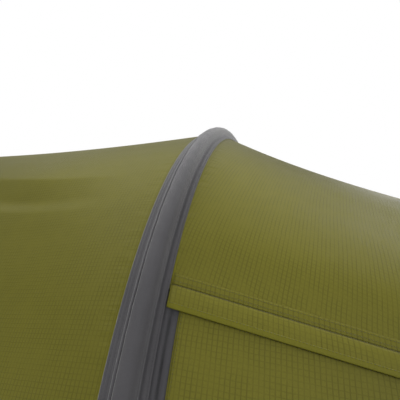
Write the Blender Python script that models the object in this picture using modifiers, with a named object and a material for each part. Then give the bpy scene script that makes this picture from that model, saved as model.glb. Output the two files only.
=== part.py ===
"""Two-person tunnel tent, pitched: three pole hoops, outer tent with a side door, and a hung inner tent.

Metres, +Z up, +X towards the porch, the ground at Z = 0. The origin is on the ground at the middle of the
tent's length and width.
"""

import math

import bmesh
import bpy
from mathutils import Matrix, Vector

# Stations along the tent
X_MAIN = 0.62
X_REAR = -0.58
X_FRONT = 1.47
X_NOSE = 1.83
X_TAIL = -1.83

# Hoops: half width and height of the canopy under each pole, and the roundness of the arch
MAIN_HALF, MAIN_HIGH = 0.750, 1.050
FRONT_HALF, FRONT_HIGH = 0.610, 0.734
ARCH_POWER = 2.12
NOSE_HALF = 0.40
TAIL_HALF = 0.45

# Outer tent: the hem's height, and how far each bay's cloth is drawn in at its middle
HEM_HIGH = 0.030
FLY_THICK = 0.0015
SAG_CENTRE_HIGH = 0.35
MAIN_SAG = 0.0244
PORCH_SAG = 0.0532
END_SAG = 0.045
SEAM_GAP = 0.0004

# Pole sleeves: a flat seam allowance on each side of the tunnel that holds the pole. The tunnel is wider
# than the pole and sits towards the porch, as in the photo.
SLEEVE_HALF = 0.030
TUNNEL_MIDDLE = 0.006
TUNNEL_HALF = 0.0165
TUNNEL_HIGH = 0.019
TUNNEL_FOOT_REAR, TUNNEL_FOOT_FRONT = 0.0135, 0.0255
TUNNEL_WRAP = math.radians(15)
SLEEVE_THICK = 0.0012
SLEEVE_CLEAR = 0.0010
SLEEVE_END_HIGH = 0.115

# Poles: tube, the spigot that joins two sections, and the moulded cup that each end stands in
POLE_R = 0.00475
SPIGOT_R = 0.0038
SOCKET_R = 0.0042
SPIGOT_LONG = 0.040
SOCKET_LONG = 0.044
TIP_R = 0.0030
TIP_LONG = 0.016
POLE_OFF = 0.010
CUP_R = 0.0082
CUP_FLANGE = 0.004
CUP_HIGH = 0.034
CUP_FLOOR = 0.006
CUP_CLEAR = 0.0013

# Side door of the porch. The zip runs up, along and down; its top is a straight seam at this arch angle.
ZIP_ANGLE = 0.7219
ZIP_DROP = 0.008
ARC_PER_ANGLE = 0.93
TAPE_WIDE = 0.011
TAPE_LAP = 0.004
TAPE_THICK = 0.0012
ZIP_GAP = 0.0022
DOOR_REAR_MARGIN = 0.0015
DOOR_FRONT_MARGIN = 0.045

# Storm flap over the zip: how far it hangs, how far it stands off, and where it starts and ends
FLAP_WIDE = 0.034
FLAP_LIFT = 0.0062
FLAP_SEAM_LIFT = 0.0016
FLAP_REAR_MARGIN = 0.001
FLAP_PAST_DOOR = 0.006

# Zip sliders: plates over the fixed tape, joined by a web that runs in the zip
SLIDER_LONG = 0.011
SLIDER_WIDE = 0.0058
SLIDER_PLATE = 0.0011
SLIDER_CLEAR = 0.0008
SLIDER_WEB = 0.0009
SLIDER_SHARE = 0.90
SLIDER_EDGE_CLEAR = 0.0003
INNER_SLIDER_EDGE_CLEAR = 0.0008

# Inner tent
FLOOR_FRONT = 0.57
FLOOR_FOOT = -1.53
FLOOR_HALF = 0.610
FOOT_FLOOR_HALF = 0.395
TUB_HIGH = 0.10
FLOOR_THICK = 0.002
INNER_HALF, INNER_HIGH = 0.655, 0.965
FOOT_HALF, FOOT_HIGH = 0.430, 0.200
INNER_THICK = 0.0012
INNER_LEAN = math.radians(4)
INNER_STEPS = 24
INNER_DOOR_HALF = 0.40
INNER_DOOR_LOW = 0.030
INNER_DOOR_HIGH = 0.72
INNER_ZIP_GAP = 0.003
INNER_ARC_STEPS = 40
INNER_END_INSET = 0.004
HANGER_WIDE = 0.012
HANGER_FRONT_X, HANGER_REAR_X = 0.44, -0.50
HANGER_CLEAR_LOW, HANGER_CLEAR_HIGH = 0.0006, 0.0025

# Rear vent
VENT_NEAR, VENT_FAR = 0.14, 0.30
VENT_ANGLE = 0.20
VENT_NET_CLEAR = 0.0025
VENT_ROD_R = 0.0016
ROD_CLEAR = 0.0006

# Hood over the vent: how far open it stands, and how far past the opening it reaches
VENT_OPEN = math.radians(24)
HOOD_LIFT = 0.004
HOOD_WIDER = 0.03
HOOD_BEFORE, HOOD_PAST = 0.015, 0.02

# Webbing
WEB_WIDE = 0.020
WEB_THICK = 0.0013
WEB_SLOT = (0.045, 0.067)
WEB_REACH = 0.080
WEB_CLEAR = 0.0006

# Foot straps, as (distance out from the hoop's foot, height): woven through a buckle, or straight
STRAP_ON_SLEEVE = (0.150, 0.122)
STRAP_OVER, STRAP_UNDER = 0.0267, 0.0219
STRAP_WOVEN = (
    (STRAP_OVER, 0.0790),
    (STRAP_OVER, 0.0710),
    (STRAP_UNDER, 0.0665),
    (STRAP_UNDER, 0.0595),
    (STRAP_OVER, 0.0550),
    (STRAP_OVER, 0.0470),
)
STRAP_STRAIGHT = ((0.0225, 0.080), (0.0225, 0.055))
STRAP_FOOT = (
    (0.0225, 0.038),
    (0.0262, 0.012),
    (0.0315, 0.0),
    (WEB_SLOT[0], 0.0),
    (WEB_SLOT[1], 0.0),
    (WEB_REACH, 0.0),
)
BUCKLE_THICK = 0.0026
BUCKLE_HALF = 0.0145
BUCKLE_WINDOW = 0.0112
BUCKLE_BARS = (0.049, 0.053, 0.061, 0.065, 0.073, 0.077)
BUCKLE_OUT = 0.0250

# Peg loops at the corners, as (distance out, height), and how they splay from the tent's own line
PEG_LOOP = ((0.003, 0.028), (0.012, 0.010), (0.020, 0.0), (0.034, 0.0), (0.056, 0.0), (0.068, 0.0))
PEG_SPLAY = 0.6
PEG_CORNER_INSET = 0.012

# Guy loops: half of the loop, as (height over the sleeve, half width of the loop)
GUY_HIGH = 0.48
GUY_LOOP = ((0.0, 0.0035), (0.008, 0.0035), (0.016, 0.0060), (0.022, 0.0050))
GUY_LOOP_TOP = 0.025
GUY_LOOP_MIDDLE = 0.014
GUY_LOOP_WIDE, GUY_LOOP_THICK = 0.016, 0.001


def clear_scene():
    for item in list(bpy.data.objects):
        bpy.data.objects.remove(item, do_unlink=True)


def new_collection(name):
    made = bpy.data.collections.new(name)
    bpy.context.scene.collection.children.link(made)
    return made


def new_material(name, colour, roughness, metallic=0.0):
    made = bpy.data.materials.new(name)
    made.use_nodes = True
    shader = made.node_tree.nodes["Principled BSDF"]
    shader.inputs["Base Color"].default_value = (*colour, 1.0)
    shader.inputs["Roughness"].default_value = roughness
    shader.inputs["Metallic"].default_value = metallic
    return made


def add_object(name, mesh, material, collection):
    made = bpy.data.objects.new(name, mesh)
    made.data.materials.append(material)
    collection.objects.link(made)
    return made


# Shape of the outer tent


def arch(half, high, angle):
    """Point (y, z) of a hoop. Angle 0 is the foot at -Y, and pi the foot at +Y."""
    power = 2 / ARCH_POWER
    side = -math.copysign(abs(math.cos(angle)) ** power, math.cos(angle))
    return half * side, high * abs(math.sin(angle)) ** power


def smooth(value):
    value = min(1.0, max(0.0, value))
    return value * value * (3 - 2 * value)


class Hoop:
    def __init__(self, x, half, high):
        self.x, self.half, self.high = x, half, high

    def point(self, angle):
        return Vector((self.x, *arch(self.half, self.high, angle)))


class GroundLine:
    """Straight hem across the tent, where an end panel is pegged down."""

    def __init__(self, x, half):
        self.x, self.half = x, half

    def point(self, angle):
        return Vector((self.x, -self.half * math.cos(angle), HEM_HIGH))


class Bay:
    """Cloth stretched from one station to the next: straight along its length, drawn in at the middle."""

    def __init__(self, first, last, sag, firm_angle, soft_angle):
        self.first, self.last, self.sag = first, last, sag
        self.firm_angle, self.soft_angle = firm_angle, soft_angle
        self.length = abs(last.x - first.x)

    def point(self, share, angle):
        flat = self.first.point(angle).lerp(self.last.point(angle), share)
        side = min(angle, math.pi - angle)
        softness = smooth((side - self.firm_angle) / (self.soft_angle - self.firm_angle))
        keep = 1 - self.sag * 4 * share * (1 - share) * softness
        centre = Vector((flat.x, 0, SAG_CENTRE_HIGH))
        return centre + (flat - centre) * keep

    def normal(self, share, angle):
        step = 0.004
        low, high = max(0.0, share - step), min(1.0, share + step)
        along = self.point(high, angle) - self.point(low, angle)
        before, after = max(0.01, angle - step), min(math.pi - 0.01, angle + step)
        across = self.point(share, after) - self.point(share, before)
        out = along.cross(across).normalized()
        middle = Vector((self.point(share, angle).x, 0, 0))
        return out if out.dot(self.point(share, angle) - middle) > 0 else -out

    def lifted(self, share, angle, height):
        return self.point(share, angle) + self.normal(share, angle) * height


MAIN_HOOP = Hoop(X_MAIN, MAIN_HALF, MAIN_HIGH)
REAR_HOOP = Hoop(X_REAR, MAIN_HALF, MAIN_HIGH)
FRONT_HOOP = Hoop(X_FRONT, FRONT_HALF, FRONT_HIGH)
MAIN_BAY = Bay(MAIN_HOOP, REAR_HOOP, MAIN_SAG, 0.0, 0.6)
PORCH_BAY = Bay(MAIN_HOOP, FRONT_HOOP, PORCH_SAG, ZIP_ANGLE, 1.15)
TAIL_BAY = Bay(REAR_HOOP, GroundLine(X_TAIL, TAIL_HALF), END_SAG, 0.0, 0.9)
NOSE_BAY = Bay(FRONT_HOOP, GroundLine(X_NOSE, NOSE_HALF), END_SAG, 0.0, 0.9)


def angle_at(half, high, z):
    """Angle on the near side of a hoop where it is z above the ground."""
    return math.asin(min(1.0, (z / high)) ** (ARCH_POWER / 2))


def steps(first, last, count):
    return [first + (last - first) * i / count for i in range(count + 1)]


def door_outline(inset):
    """The door opening's sides (shares of the porch bay) and top (arch angle), drawn in by a distance."""
    share = inset / PORCH_BAY.length
    left = (SLEEVE_HALF + DOOR_REAR_MARGIN) / PORCH_BAY.length + share
    right = 1 - DOOR_FRONT_MARGIN / PORCH_BAY.length - share
    return left, right, ZIP_ANGLE - (ZIP_DROP + inset) / ARC_PER_ANGLE


# Every panel has its edges at the same angles, so that neighbours keep an even gap.
HEM_ANGLE = angle_at(MAIN_HALF, MAIN_HIGH, HEM_HIGH)
DOOR_TOP = door_outline(0)[2]
SIDE_ANGLES = steps(HEM_ANGLE, door_outline(2 * TAPE_WIDE + TAPE_LAP + 0.003)[2], 7)
VENT_ANGLES = steps(math.pi / 2 - VENT_ANGLE, math.pi / 2 + VENT_ANGLE, 4)
HALF_ANGLES = SIDE_ANGLES + steps(DOOR_TOP, VENT_ANGLES[0], 6)[:-1]
ARCH_ANGLES = HALF_ANGLES + VENT_ANGLES + [math.pi - angle for angle in reversed(HALF_ANGLES)]


# Building cloth from rows of points


def sheet_mesh(name, rows, keep=None):
    mesh = bpy.data.meshes.new(name)
    shape = bmesh.new()
    grid = [[shape.verts.new(point) for point in row] for row in rows]
    for i in range(len(rows) - 1):
        for j in range(len(rows[0]) - 1):
            if keep is None or keep(i, j):
                shape.faces.new((grid[i][j], grid[i + 1][j], grid[i + 1][j + 1], grid[i][j + 1]))
    loose = [vert for vert in shape.verts if not vert.link_faces]
    bmesh.ops.delete(shape, geom=loose, context="VERTS")
    shape.to_mesh(mesh)
    shape.free()
    return mesh


def face_away(mesh, inside):
    """Turns the faces so that they look away from a point inside."""
    shape = bmesh.new()
    shape.from_mesh(mesh)
    shape.normal_update()
    outward = sum(face.normal.dot(face.calc_center_median() - inside) for face in shape.faces)
    if outward < 0:
        bmesh.ops.reverse_faces(shape, faces=list(shape.faces))
    shape.to_mesh(mesh)
    shape.free()


def set_origin(made, point):
    """Moves an object's own origin to a point, such as one on its hinge, and leaves its shape where it is."""
    made.data.transform(Matrix.Translation(-point))
    made.location = point


def cloth(name, rows, thickness, material, collection, inside, keep=None, pivot=None):
    """A sheet of cloth: rows of points, thickened away from the inside point."""
    mesh = sheet_mesh(name, rows, keep)
    face_away(mesh, inside)
    mesh.shade_smooth()
    made = add_object(name, mesh, material, collection)
    if pivot is not None:
        set_origin(made, pivot)
    solidify = made.modifiers.new("Thickness", "SOLIDIFY")
    solidify.thickness = thickness
    solidify.offset = 1.0
    return made


def bay_rows(bay, shares, angles, height=0.0):
    return [[bay.lifted(share, angle, height) for angle in angles] for share in shares]


def build_canopies(fly, collection):
    """The outer tent's fixed panels. Each ends a seam gap short of the hoop's own plane."""
    inside = Vector((0, 0, 0.3))
    last_edge = 1 - SLEEVE_HALF / MAIN_BAY.length
    shares = sleeve_shares(MAIN_BAY) + [0.2, 0.35, 0.5, 0.65, 0.8, last_edge, 1 - SEAM_GAP / MAIN_BAY.length]
    cloth("main_canopy", bay_rows(MAIN_BAY, shares, ARCH_ANGLES), FLY_THICK, fly, collection, inside)

    shares = sleeve_shares(TAIL_BAY) + [VENT_NEAR, VENT_FAR, 0.5, 0.75, 1.0]
    first, last = ARCH_ANGLES.index(VENT_ANGLES[0]), ARCH_ANGLES.index(VENT_ANGLES[-1])
    vent_row = shares.index(VENT_NEAR)

    def beside_vent(i, j):
        return not (i == vent_row and first <= j < last)

    rows = bay_rows(TAIL_BAY, shares, ARCH_ANGLES)
    cloth("rear_canopy", rows, FLY_THICK, fly, collection, inside, beside_vent)

    shares = sleeve_shares(NOSE_BAY) + [0.3, 0.65, 1.0]
    cloth("front_wall", bay_rows(NOSE_BAY, shares, ARCH_ANGLES), FLY_THICK, fly, collection, inside)


def sleeve_shares(bay):
    """Shares of a bay's first two rows of cloth, at the hoop's plane and at the sleeve's edge."""
    return [SEAM_GAP / bay.length, SLEEVE_HALF / bay.length]


def door_hinge():
    """Ends of the line along the door's hem that it folds down about."""
    left, right, _ = door_outline(2 * TAPE_WIDE)
    return PORCH_BAY.point(left, HEM_ANGLE), PORCH_BAY.point(right, HEM_ANGLE)


def zip_band(name, outer, inner, material, collection, pivot=None):
    """Half of the zip: a tape along the rear side, top and front side of the door."""
    left, right, top = door_outline(outer)
    left_in, right_in, top_in = door_outline(inner)
    shares = [left] + steps(left_in, right_in, 5) + [right]
    angles = SIDE_ANGLES + [top_in, top]

    def on_band(i, j):
        return i == 0 or i == len(shares) - 2 or j == len(angles) - 2

    rows = bay_rows(PORCH_BAY, shares, angles, -TAPE_THICK - SEAM_GAP)
    cloth(name, rows, TAPE_THICK, material, collection, Vector((X_MAIN, 0, 0.2)), on_band, pivot)


def build_porch(fly, tape, collection):
    inside = Vector((X_MAIN + 0.3, 0, 0.2))
    left, right, _ = door_outline(0)
    gap = SEAM_GAP / PORCH_BAY.length
    shares = [gap] + steps(left, right, 6) + [1 - gap]
    door_columns = len(SIDE_ANGLES)

    def around_door(i, j):
        return i == 0 or i == len(shares) - 2 or j >= door_columns

    rows = bay_rows(PORCH_BAY, shares, ARCH_ANGLES)
    cloth("porch_canopy", rows, FLY_THICK, fly, collection, inside, around_door)

    zip_band("door_zip_fixed_tape", -TAPE_LAP, TAPE_WIDE - ZIP_GAP / 2, tape, collection)
    hinge = door_hinge()[0]
    inner = 2 * TAPE_WIDE + TAPE_LAP
    zip_band("door_zip_door_tape", TAPE_WIDE + ZIP_GAP / 2, inner, tape, collection, hinge)

    left, right, top = door_outline(2 * TAPE_WIDE)
    rows = bay_rows(PORCH_BAY, steps(left, right, 6), SIDE_ANGLES + [top])
    cloth("porch_door", rows, FLY_THICK, fly, collection, inside, None, hinge)

    left = (SLEEVE_HALF + FLAP_REAR_MARGIN) / PORCH_BAY.length
    right = door_outline(-FLAP_PAST_DOOR)[1]
    profile = [
        (0.0, FLY_THICK + FLAP_SEAM_LIFT),
        (0.006, FLAP_LIFT - 0.0006),
        (0.014, FLAP_LIFT),
        (FLAP_WIDE * 0.7, FLAP_LIFT),
        (FLAP_WIDE, FLAP_LIFT - 0.0008),
    ]
    rows = [
        [PORCH_BAY.lifted(share, ZIP_ANGLE - drop / ARC_PER_ANGLE, lift) for drop, lift in profile]
        for share in steps(left, right, 4)
    ]
    cloth("door_storm_flap", rows, TAPE_THICK, fly, collection, inside, None, rows[0][0])


def door_slider(metal, collection):
    """Slider on the fixed tape along the top of the door. A web in the zip joins its two plates."""
    edge = ZIP_ANGLE - (ZIP_DROP + TAPE_WIDE - ZIP_GAP / 2) / ARC_PER_ANGLE
    middle = -SEAM_GAP - TAPE_THICK / 2
    here = PORCH_BAY.lifted(SLIDER_SHARE, edge, middle)
    along = (PORCH_BAY.point(1, edge) - PORCH_BAY.point(0, edge)).normalized()
    out = PORCH_BAY.normal(SLIDER_SHARE, edge)
    up = out.cross(along).normalized()
    up = up if up.z > 0 else -up
    c_section("door_zip_slider", here, up, out, TAPE_THICK, SLIDER_EDGE_CLEAR, metal, collection)


def outline_object(name, outlines, thickness, place, material, collection):
    """Flat outlines, filled and given a thickness. Inner outlines are holes."""
    curve = bpy.data.curves.new(name, "CURVE")
    curve.dimensions = "2D"
    curve.fill_mode = "BOTH"
    curve.extrude = thickness / 2
    for outline in outlines:
        spline = curve.splines.new("POLY")
        spline.points.add(len(outline) - 1)
        spline.use_cyclic_u = True
        for point, (across, up) in zip(spline.points, outline):
            point.co = (across, up, 0, 1)
    made = add_object(name, curve, material, collection)
    made.matrix_world = place
    return made


def frame_matrix(origin, first, second, third):
    """Matrix whose own x, y and z run along three given directions."""
    turned = Matrix((first, second, third)).transposed().to_4x4()
    return Matrix.Translation(origin) @ turned


def c_section(name, here, inward, out, cloth_thick, edge_clear, material, collection):
    """A slider as a C-shaped outline, drawn out along the zip: inward points over the fixed cloth."""
    near = cloth_thick / 2 + SLIDER_CLEAR
    far = near + SLIDER_PLATE
    face = -edge_clear
    web = face - SLIDER_WEB
    outline = [
        (web, -far),
        (SLIDER_WIDE, -far),
        (SLIDER_WIDE, -near),
        (face, -near),
        (face, near),
        (SLIDER_WIDE, near),
        (SLIDER_WIDE, far),
        (web, far),
    ]
    place = frame_matrix(here, inward, out, inward.cross(out))
    return outline_object(name, [outline], SLIDER_LONG, place, material, collection)


# Sleeves and poles


def share_from(bay, hoop, distance, angle):
    """Share of a bay at a distance, measured on the cloth, from one of its hoops."""
    near = 0.04
    start = 0.0 if hoop is bay.first else 1.0
    step = (bay.point(abs(start - near), angle) - bay.point(start, angle)).length
    return abs(start - near * distance / step)


def sleeve_row(behind, ahead, hoop, angle):
    """Inner face of a sleeve across one angle, from -X to +X: seam allowance, tunnel, seam allowance."""
    out = hoop_out(hoop, angle)

    def on_cloth(bay, distance):
        return bay.lifted(share_from(bay, hoop, distance, angle), angle, FLY_THICK + SLEEVE_CLEAR)

    row = [on_cloth(behind, SLEEVE_HALF), on_cloth(behind, TUNNEL_FOOT_REAR)]
    for turn in steps(math.pi + TUNNEL_WRAP, -TUNNEL_WRAP, 6):
        across = TUNNEL_MIDDLE + (TUNNEL_HALF - SLEEVE_THICK) * math.cos(turn)
        rise = POLE_OFF + (TUNNEL_HIGH - SLEEVE_THICK - POLE_OFF) * math.sin(turn)
        row.append(hoop.point(angle) + Vector((across, 0, 0)) + out * rise)
    return row + [on_cloth(ahead, TUNNEL_FOOT_FRONT), on_cloth(ahead, SLEEVE_HALF)]


def hoop_out(hoop, angle):
    """Direction out of the hoop, in its own plane."""
    step = 0.003
    before, after = max(0.0005, angle - step), min(math.pi - 0.0005, angle + step)
    along = hoop.point(after) - hoop.point(before)
    out = Vector((0, -along.z, along.y)).normalized()
    return out if out.dot(hoop.point(angle) - Vector((hoop.x, 0, 0.0))) > 0 else -out


def build_sleeves(material, collection):
    joins = (
        ("main_sleeve", MAIN_BAY, PORCH_BAY, MAIN_HOOP),
        ("rear_sleeve", TAIL_BAY, MAIN_BAY, REAR_HOOP),
        ("front_sleeve", PORCH_BAY, NOSE_BAY, FRONT_HOOP),
    )
    for name, behind, ahead, hoop in joins:
        low = angle_at(hoop.half, hoop.high, SLEEVE_END_HIGH)
        kept = [angle for angle in ARCH_ANGLES if low + 0.03 < angle < math.pi - low - 0.03]
        rows = [sleeve_row(behind, ahead, hoop, angle) for angle in [low] + kept + [math.pi - low]]
        cloth(name, rows, SLEEVE_THICK, material, collection, Vector((hoop.x, 0, 0.3)))


class PoleLine:
    """Centre line of a hoop's pole, measured along its length from the foot at -Y."""

    def __init__(self, hoop):
        self.hoop = hoop
        start = angle_at(hoop.half, hoop.high, CUP_FLOOR + 0.0005)
        self.angles = steps(start, math.pi - start, 600)
        self.points = [hoop.point(a) + hoop_out(hoop, a) * POLE_OFF for a in self.angles]
        self.reach = [0.0]
        for here, there in zip(self.points, self.points[1:]):
            self.reach.append(self.reach[-1] + (there - here).length)
        self.length = self.reach[-1]

    def frame(self, distance):
        """Point and direction at a distance along the pole. It runs on straight past either end."""
        inside = min(max(distance, 0.0), self.length)
        k = next((i for i in range(1, len(self.reach)) if self.reach[i] >= inside), len(self.reach) - 1)
        here, there = self.points[k - 1], self.points[k]
        along = (there - here).normalized()
        return here + along * (distance - self.reach[k - 1]), along


def bent_turning(name, line, profile, material, collection, sides=8):
    """A turned piece bent along a pole: profile is (distance along the pole, radius), from end to end."""
    mesh = bpy.data.meshes.new(name)
    shape = bmesh.new()
    rings = []
    for distance, radius in profile:
        centre, along = line.frame(distance)
        side = Vector((1, 0, 0))
        up = along.cross(side)
        ring = []
        for k in range(sides):
            turn = math.tau * k / sides
            ring.append(shape.verts.new(centre + (side * math.cos(turn) + up * math.sin(turn)) * radius))
        rings.append(ring)
    for first, second in zip(rings, rings[1:]):
        for k in range(sides):
            after = (k + 1) % sides
            shape.faces.new((first[k], first[after], second[after], second[k]))
    shape.faces.new(list(reversed(rings[0])))
    shape.faces.new(rings[-1])
    bmesh.ops.recalc_face_normals(shape, faces=list(shape.faces))
    shape.to_mesh(mesh)
    shape.free()
    made = add_object(name, mesh, material, collection)
    made.data.shade_smooth()
    made.data.set_sharp_from_angle(angle=math.radians(35))
    return made


def pole_section(name, line, start, end, first, last, material, collection):
    """One tube of a pole. All but the last section end in a spigot, and all but the first begin in a socket."""
    profile = []
    if first:
        profile += [(start, TIP_R * 0.6), (start + 0.003, TIP_R), (start + TIP_LONG, TIP_R)]
        profile += [(start + TIP_LONG + 0.0005, POLE_R), (start + 0.05, POLE_R)]
    else:
        mouth = start + 0.0003
        bottom, middle = start + SOCKET_LONG, start + SOCKET_LONG / 2
        profile += [(bottom, SOCKET_R * 0.4), (bottom, SOCKET_R), (middle, SOCKET_R), (mouth, SOCKET_R)]
        profile += [(mouth, POLE_R), (middle, POLE_R), (bottom, POLE_R)]
    profile += [(start + (end - start) * share, POLE_R) for share in (0.25, 0.42, 0.58, 0.75)]
    if last:
        profile += [(end - 0.05, POLE_R), (end - TIP_LONG - 0.0005, POLE_R), (end - TIP_LONG, TIP_R)]
        profile += [(end - 0.003, TIP_R), (end, TIP_R * 0.6)]
    else:
        profile += [(end - 0.03, POLE_R), (end, POLE_R), (end, SPIGOT_R)]
        profile += [(end + SOCKET_LONG / 2, SPIGOT_R), (end + SPIGOT_LONG, SPIGOT_R)]
    return bent_turning(name, line, profile, material, collection)


def build_poles(alloy, plastic, collection):
    for label, hoop, count in (("main", MAIN_HOOP, 5), ("rear", REAR_HOOP, 5), ("front", FRONT_HOOP, 4)):
        line = PoleLine(hoop)
        cuts = steps(0.0, line.length, count)
        for k in range(count):
            name = f"{label}_pole_section_{k + 1}"
            pole_section(name, line, cuts[k], cuts[k + 1], k == 0, k == count - 1, alloy, collection)
        for side, end in (("near", line.points[0]), ("far", line.points[-1])):
            foot_cup(f"{label}_pole_cup_{side}", end, plastic, collection)


def foot_cup(name, tip, material, collection):
    """Moulded cup on the ground: a turned profile with a pocket for the pole's tip."""
    pocket = POLE_R + CUP_CLEAR
    profile = [
        (0.0, CUP_FLOOR),
        (pocket, CUP_FLOOR),
        (pocket, CUP_HIGH - 0.003),
        (pocket + 0.0015, CUP_HIGH),
        (CUP_R, CUP_HIGH),
        (CUP_R, 0.008),
        (CUP_R + CUP_FLANGE, 0.004),
        (CUP_R + CUP_FLANGE, 0.0),
        (0.0, 0.0),
    ]
    turned(name, profile, Vector((tip.x, tip.y, 0)), 12, material, collection)


def turned(name, profile, place, sides, material, collection):
    """A profile of (radius, height) turned about the vertical, standing at a place."""
    mesh = bpy.data.meshes.new(name)
    mesh.from_pydata([(radius, 0, height) for radius, height in profile], pair_up(profile), [])
    made = add_object(name, mesh, material, collection)
    made.location = place
    screw = made.modifiers.new("Turn", "SCREW")
    screw.steps = screw.render_steps = sides
    screw.use_merge_vertices = True
    screw.merge_threshold = 0.0001
    return made


def pair_up(items):
    return [(i, i + 1) for i in range(len(items) - 1)]


# Inner tent


def past_rear(x):
    """0 in front of the rear hoop, rising to 1 at the foot of the floor."""
    return min(1.0, max(0.0, (X_REAR - x) / (X_REAR - FLOOR_FOOT)))


def taper(full, foot, x):
    return full + (foot - full) * past_rear(x)


def inner_wall(x, angle):
    """Point (y, height above the tub's rim) of the inner tent's wall."""
    half = taper(INNER_HALF, FOOT_HALF, x)
    high = taper(INNER_HIGH, FOOT_HIGH, x) - TUB_HIGH
    return arch(half, high, angle)


def build_inner(ground, breathable, net, metal, collection):
    inside = Vector((0, 0, 0.06))
    rows = []
    for x in (FLOOR_FRONT, X_REAR, FLOOR_FOOT):
        half, rim = taper(FLOOR_HALF, FOOT_FLOOR_HALF, x), taper(INNER_HALF, FOOT_HALF, x)
        rows.append([(x, -rim, TUB_HIGH), (x, -half, FLOOR_THICK), (x, half, FLOOR_THICK), (x, rim, TUB_HIGH)])
    tub_floor(rows, ground, collection, inside)

    front, foot = FLOOR_FRONT - INNER_END_INSET, FLOOR_FOOT + INNER_END_INSET
    rows = []
    for x in (front, 0.3, 0.0, -0.3, X_REAR, -0.9, -1.2, foot):
        row = []
        for angle in steps(0.0, math.pi, INNER_STEPS):
            y, high = inner_wall(x, angle)
            back = math.tan(INNER_LEAN) * high if x == front else 0.0
            row.append(Vector((x - back, y, TUB_HIGH + SEAM_GAP + high)))
        rows.append(row)
    canopy = cloth("inner_canopy", rows, INNER_THICK, breathable, collection, Vector((0, 0, 0.2)))
    close_end(canopy.data, foot)

    wall = [inner_wall(front, angle) for angle in steps(0.0, math.pi, INNER_STEPS)]
    wall = [(y, high / math.cos(INNER_LEAN)) for y, high in wall]
    flat_panel("inner_front_wall", [wall, inner_door_outline(0.0)], breathable, collection)
    door = flat_panel("inner_door", [inner_door_outline(INNER_ZIP_GAP)], net, collection)
    lean = front_plane()
    foot = INNER_DOOR_LOW + INNER_ZIP_GAP
    door.data.transform(Matrix.Translation((0, -foot, 0)))
    door.location = lean @ Vector((INNER_THICK / 2, 0, foot))

    here = lean @ Vector((INNER_THICK / 2, -INNER_DOOR_HALF, INNER_DOOR_HIGH - INNER_DOOR_HALF))
    out = lean.to_3x3() @ Vector((1, 0, 0))
    over = Vector((0, -1, 0))
    clear = INNER_SLIDER_EDGE_CLEAR
    slider = c_section("inner_zip_slider", here, over, out, INNER_THICK, clear, metal, collection)
    centre = lean @ Vector((INNER_THICK / 2, 0, INNER_DOOR_HIGH - INNER_DOOR_HALF))
    slider.data.transform(slider.matrix_world.inverted() @ Matrix.Translation(here - centre) @ slider.matrix_world)
    slider.location = centre


def front_plane():
    """Leaning plane of the inner tent's front wall: its own Y is the tent's, and its Z runs up the wall."""
    stand = Vector((FLOOR_FRONT, 0, TUB_HIGH + SEAM_GAP))
    return Matrix.Translation(stand) @ Matrix.Rotation(-INNER_LEAN, 4, "Y")


def inner_door_outline(inset):
    """Arched door of the inner tent: straight foot, upright sides and a round top."""
    half = INNER_DOOR_HALF - inset
    low = INNER_DOOR_LOW + inset
    shoulder = INNER_DOOR_HIGH - INNER_DOOR_HALF
    turns = steps(0.0, math.pi, INNER_ARC_STEPS)
    arc = [(half * math.cos(turn), shoulder + half * math.sin(turn)) for turn in turns]
    return [(half, low)] + arc + [(-half, low)]


def close_end(mesh, x):
    """Fills the foot end of the inner tent with one flat panel."""
    shape = bmesh.new()
    shape.from_mesh(mesh)
    ring = [vert for vert in shape.verts if abs(vert.co.x - x) < 1e-4]
    ring.sort(key=lambda vert: vert.co.y)
    face = shape.faces.new(ring)
    face.normal_update()
    if face.normal.x > 0:
        face.normal_flip()
    shape.to_mesh(mesh)
    shape.free()


def tub_floor(rows, material, collection, inside):
    """Bathtub groundsheet: a flat floor with low walls on all four sides."""
    mesh = bpy.data.meshes.new("groundsheet")
    shape = bmesh.new()
    grid = [[shape.verts.new(point) for point in row] for row in rows]
    for before, after in zip(grid, grid[1:]):
        for j in range(3):
            shape.faces.new((before[j], after[j], after[j + 1], before[j + 1]))
    shape.faces.new(grid[0])
    shape.faces.new(grid[-1])
    bmesh.ops.recalc_face_normals(shape, faces=list(shape.faces))
    shape.to_mesh(mesh)
    shape.free()
    face_away(mesh, inside)
    made = add_object("groundsheet", mesh, material, collection)
    solidify = made.modifiers.new("Thickness", "SOLIDIFY")
    solidify.thickness = FLOOR_THICK
    solidify.offset = 1.0
    solidify.use_even_offset = True


def flat_panel(name, outlines, material, collection):
    """A flat panel in the plane of the inner tent's front: outlines are (y, up), the first one the outside."""
    lean = front_plane()
    turn = lean.to_3x3()
    first, second, third = turn @ Vector((0, 1, 0)), turn @ Vector((0, 0, 1)), turn @ Vector((1, 0, 0))
    place = frame_matrix(lean @ Vector((INNER_THICK / 2, 0, 0)), first, second, third)
    return outline_object(name, outlines, INNER_THICK, place, material, collection)


# Rear vent


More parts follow.
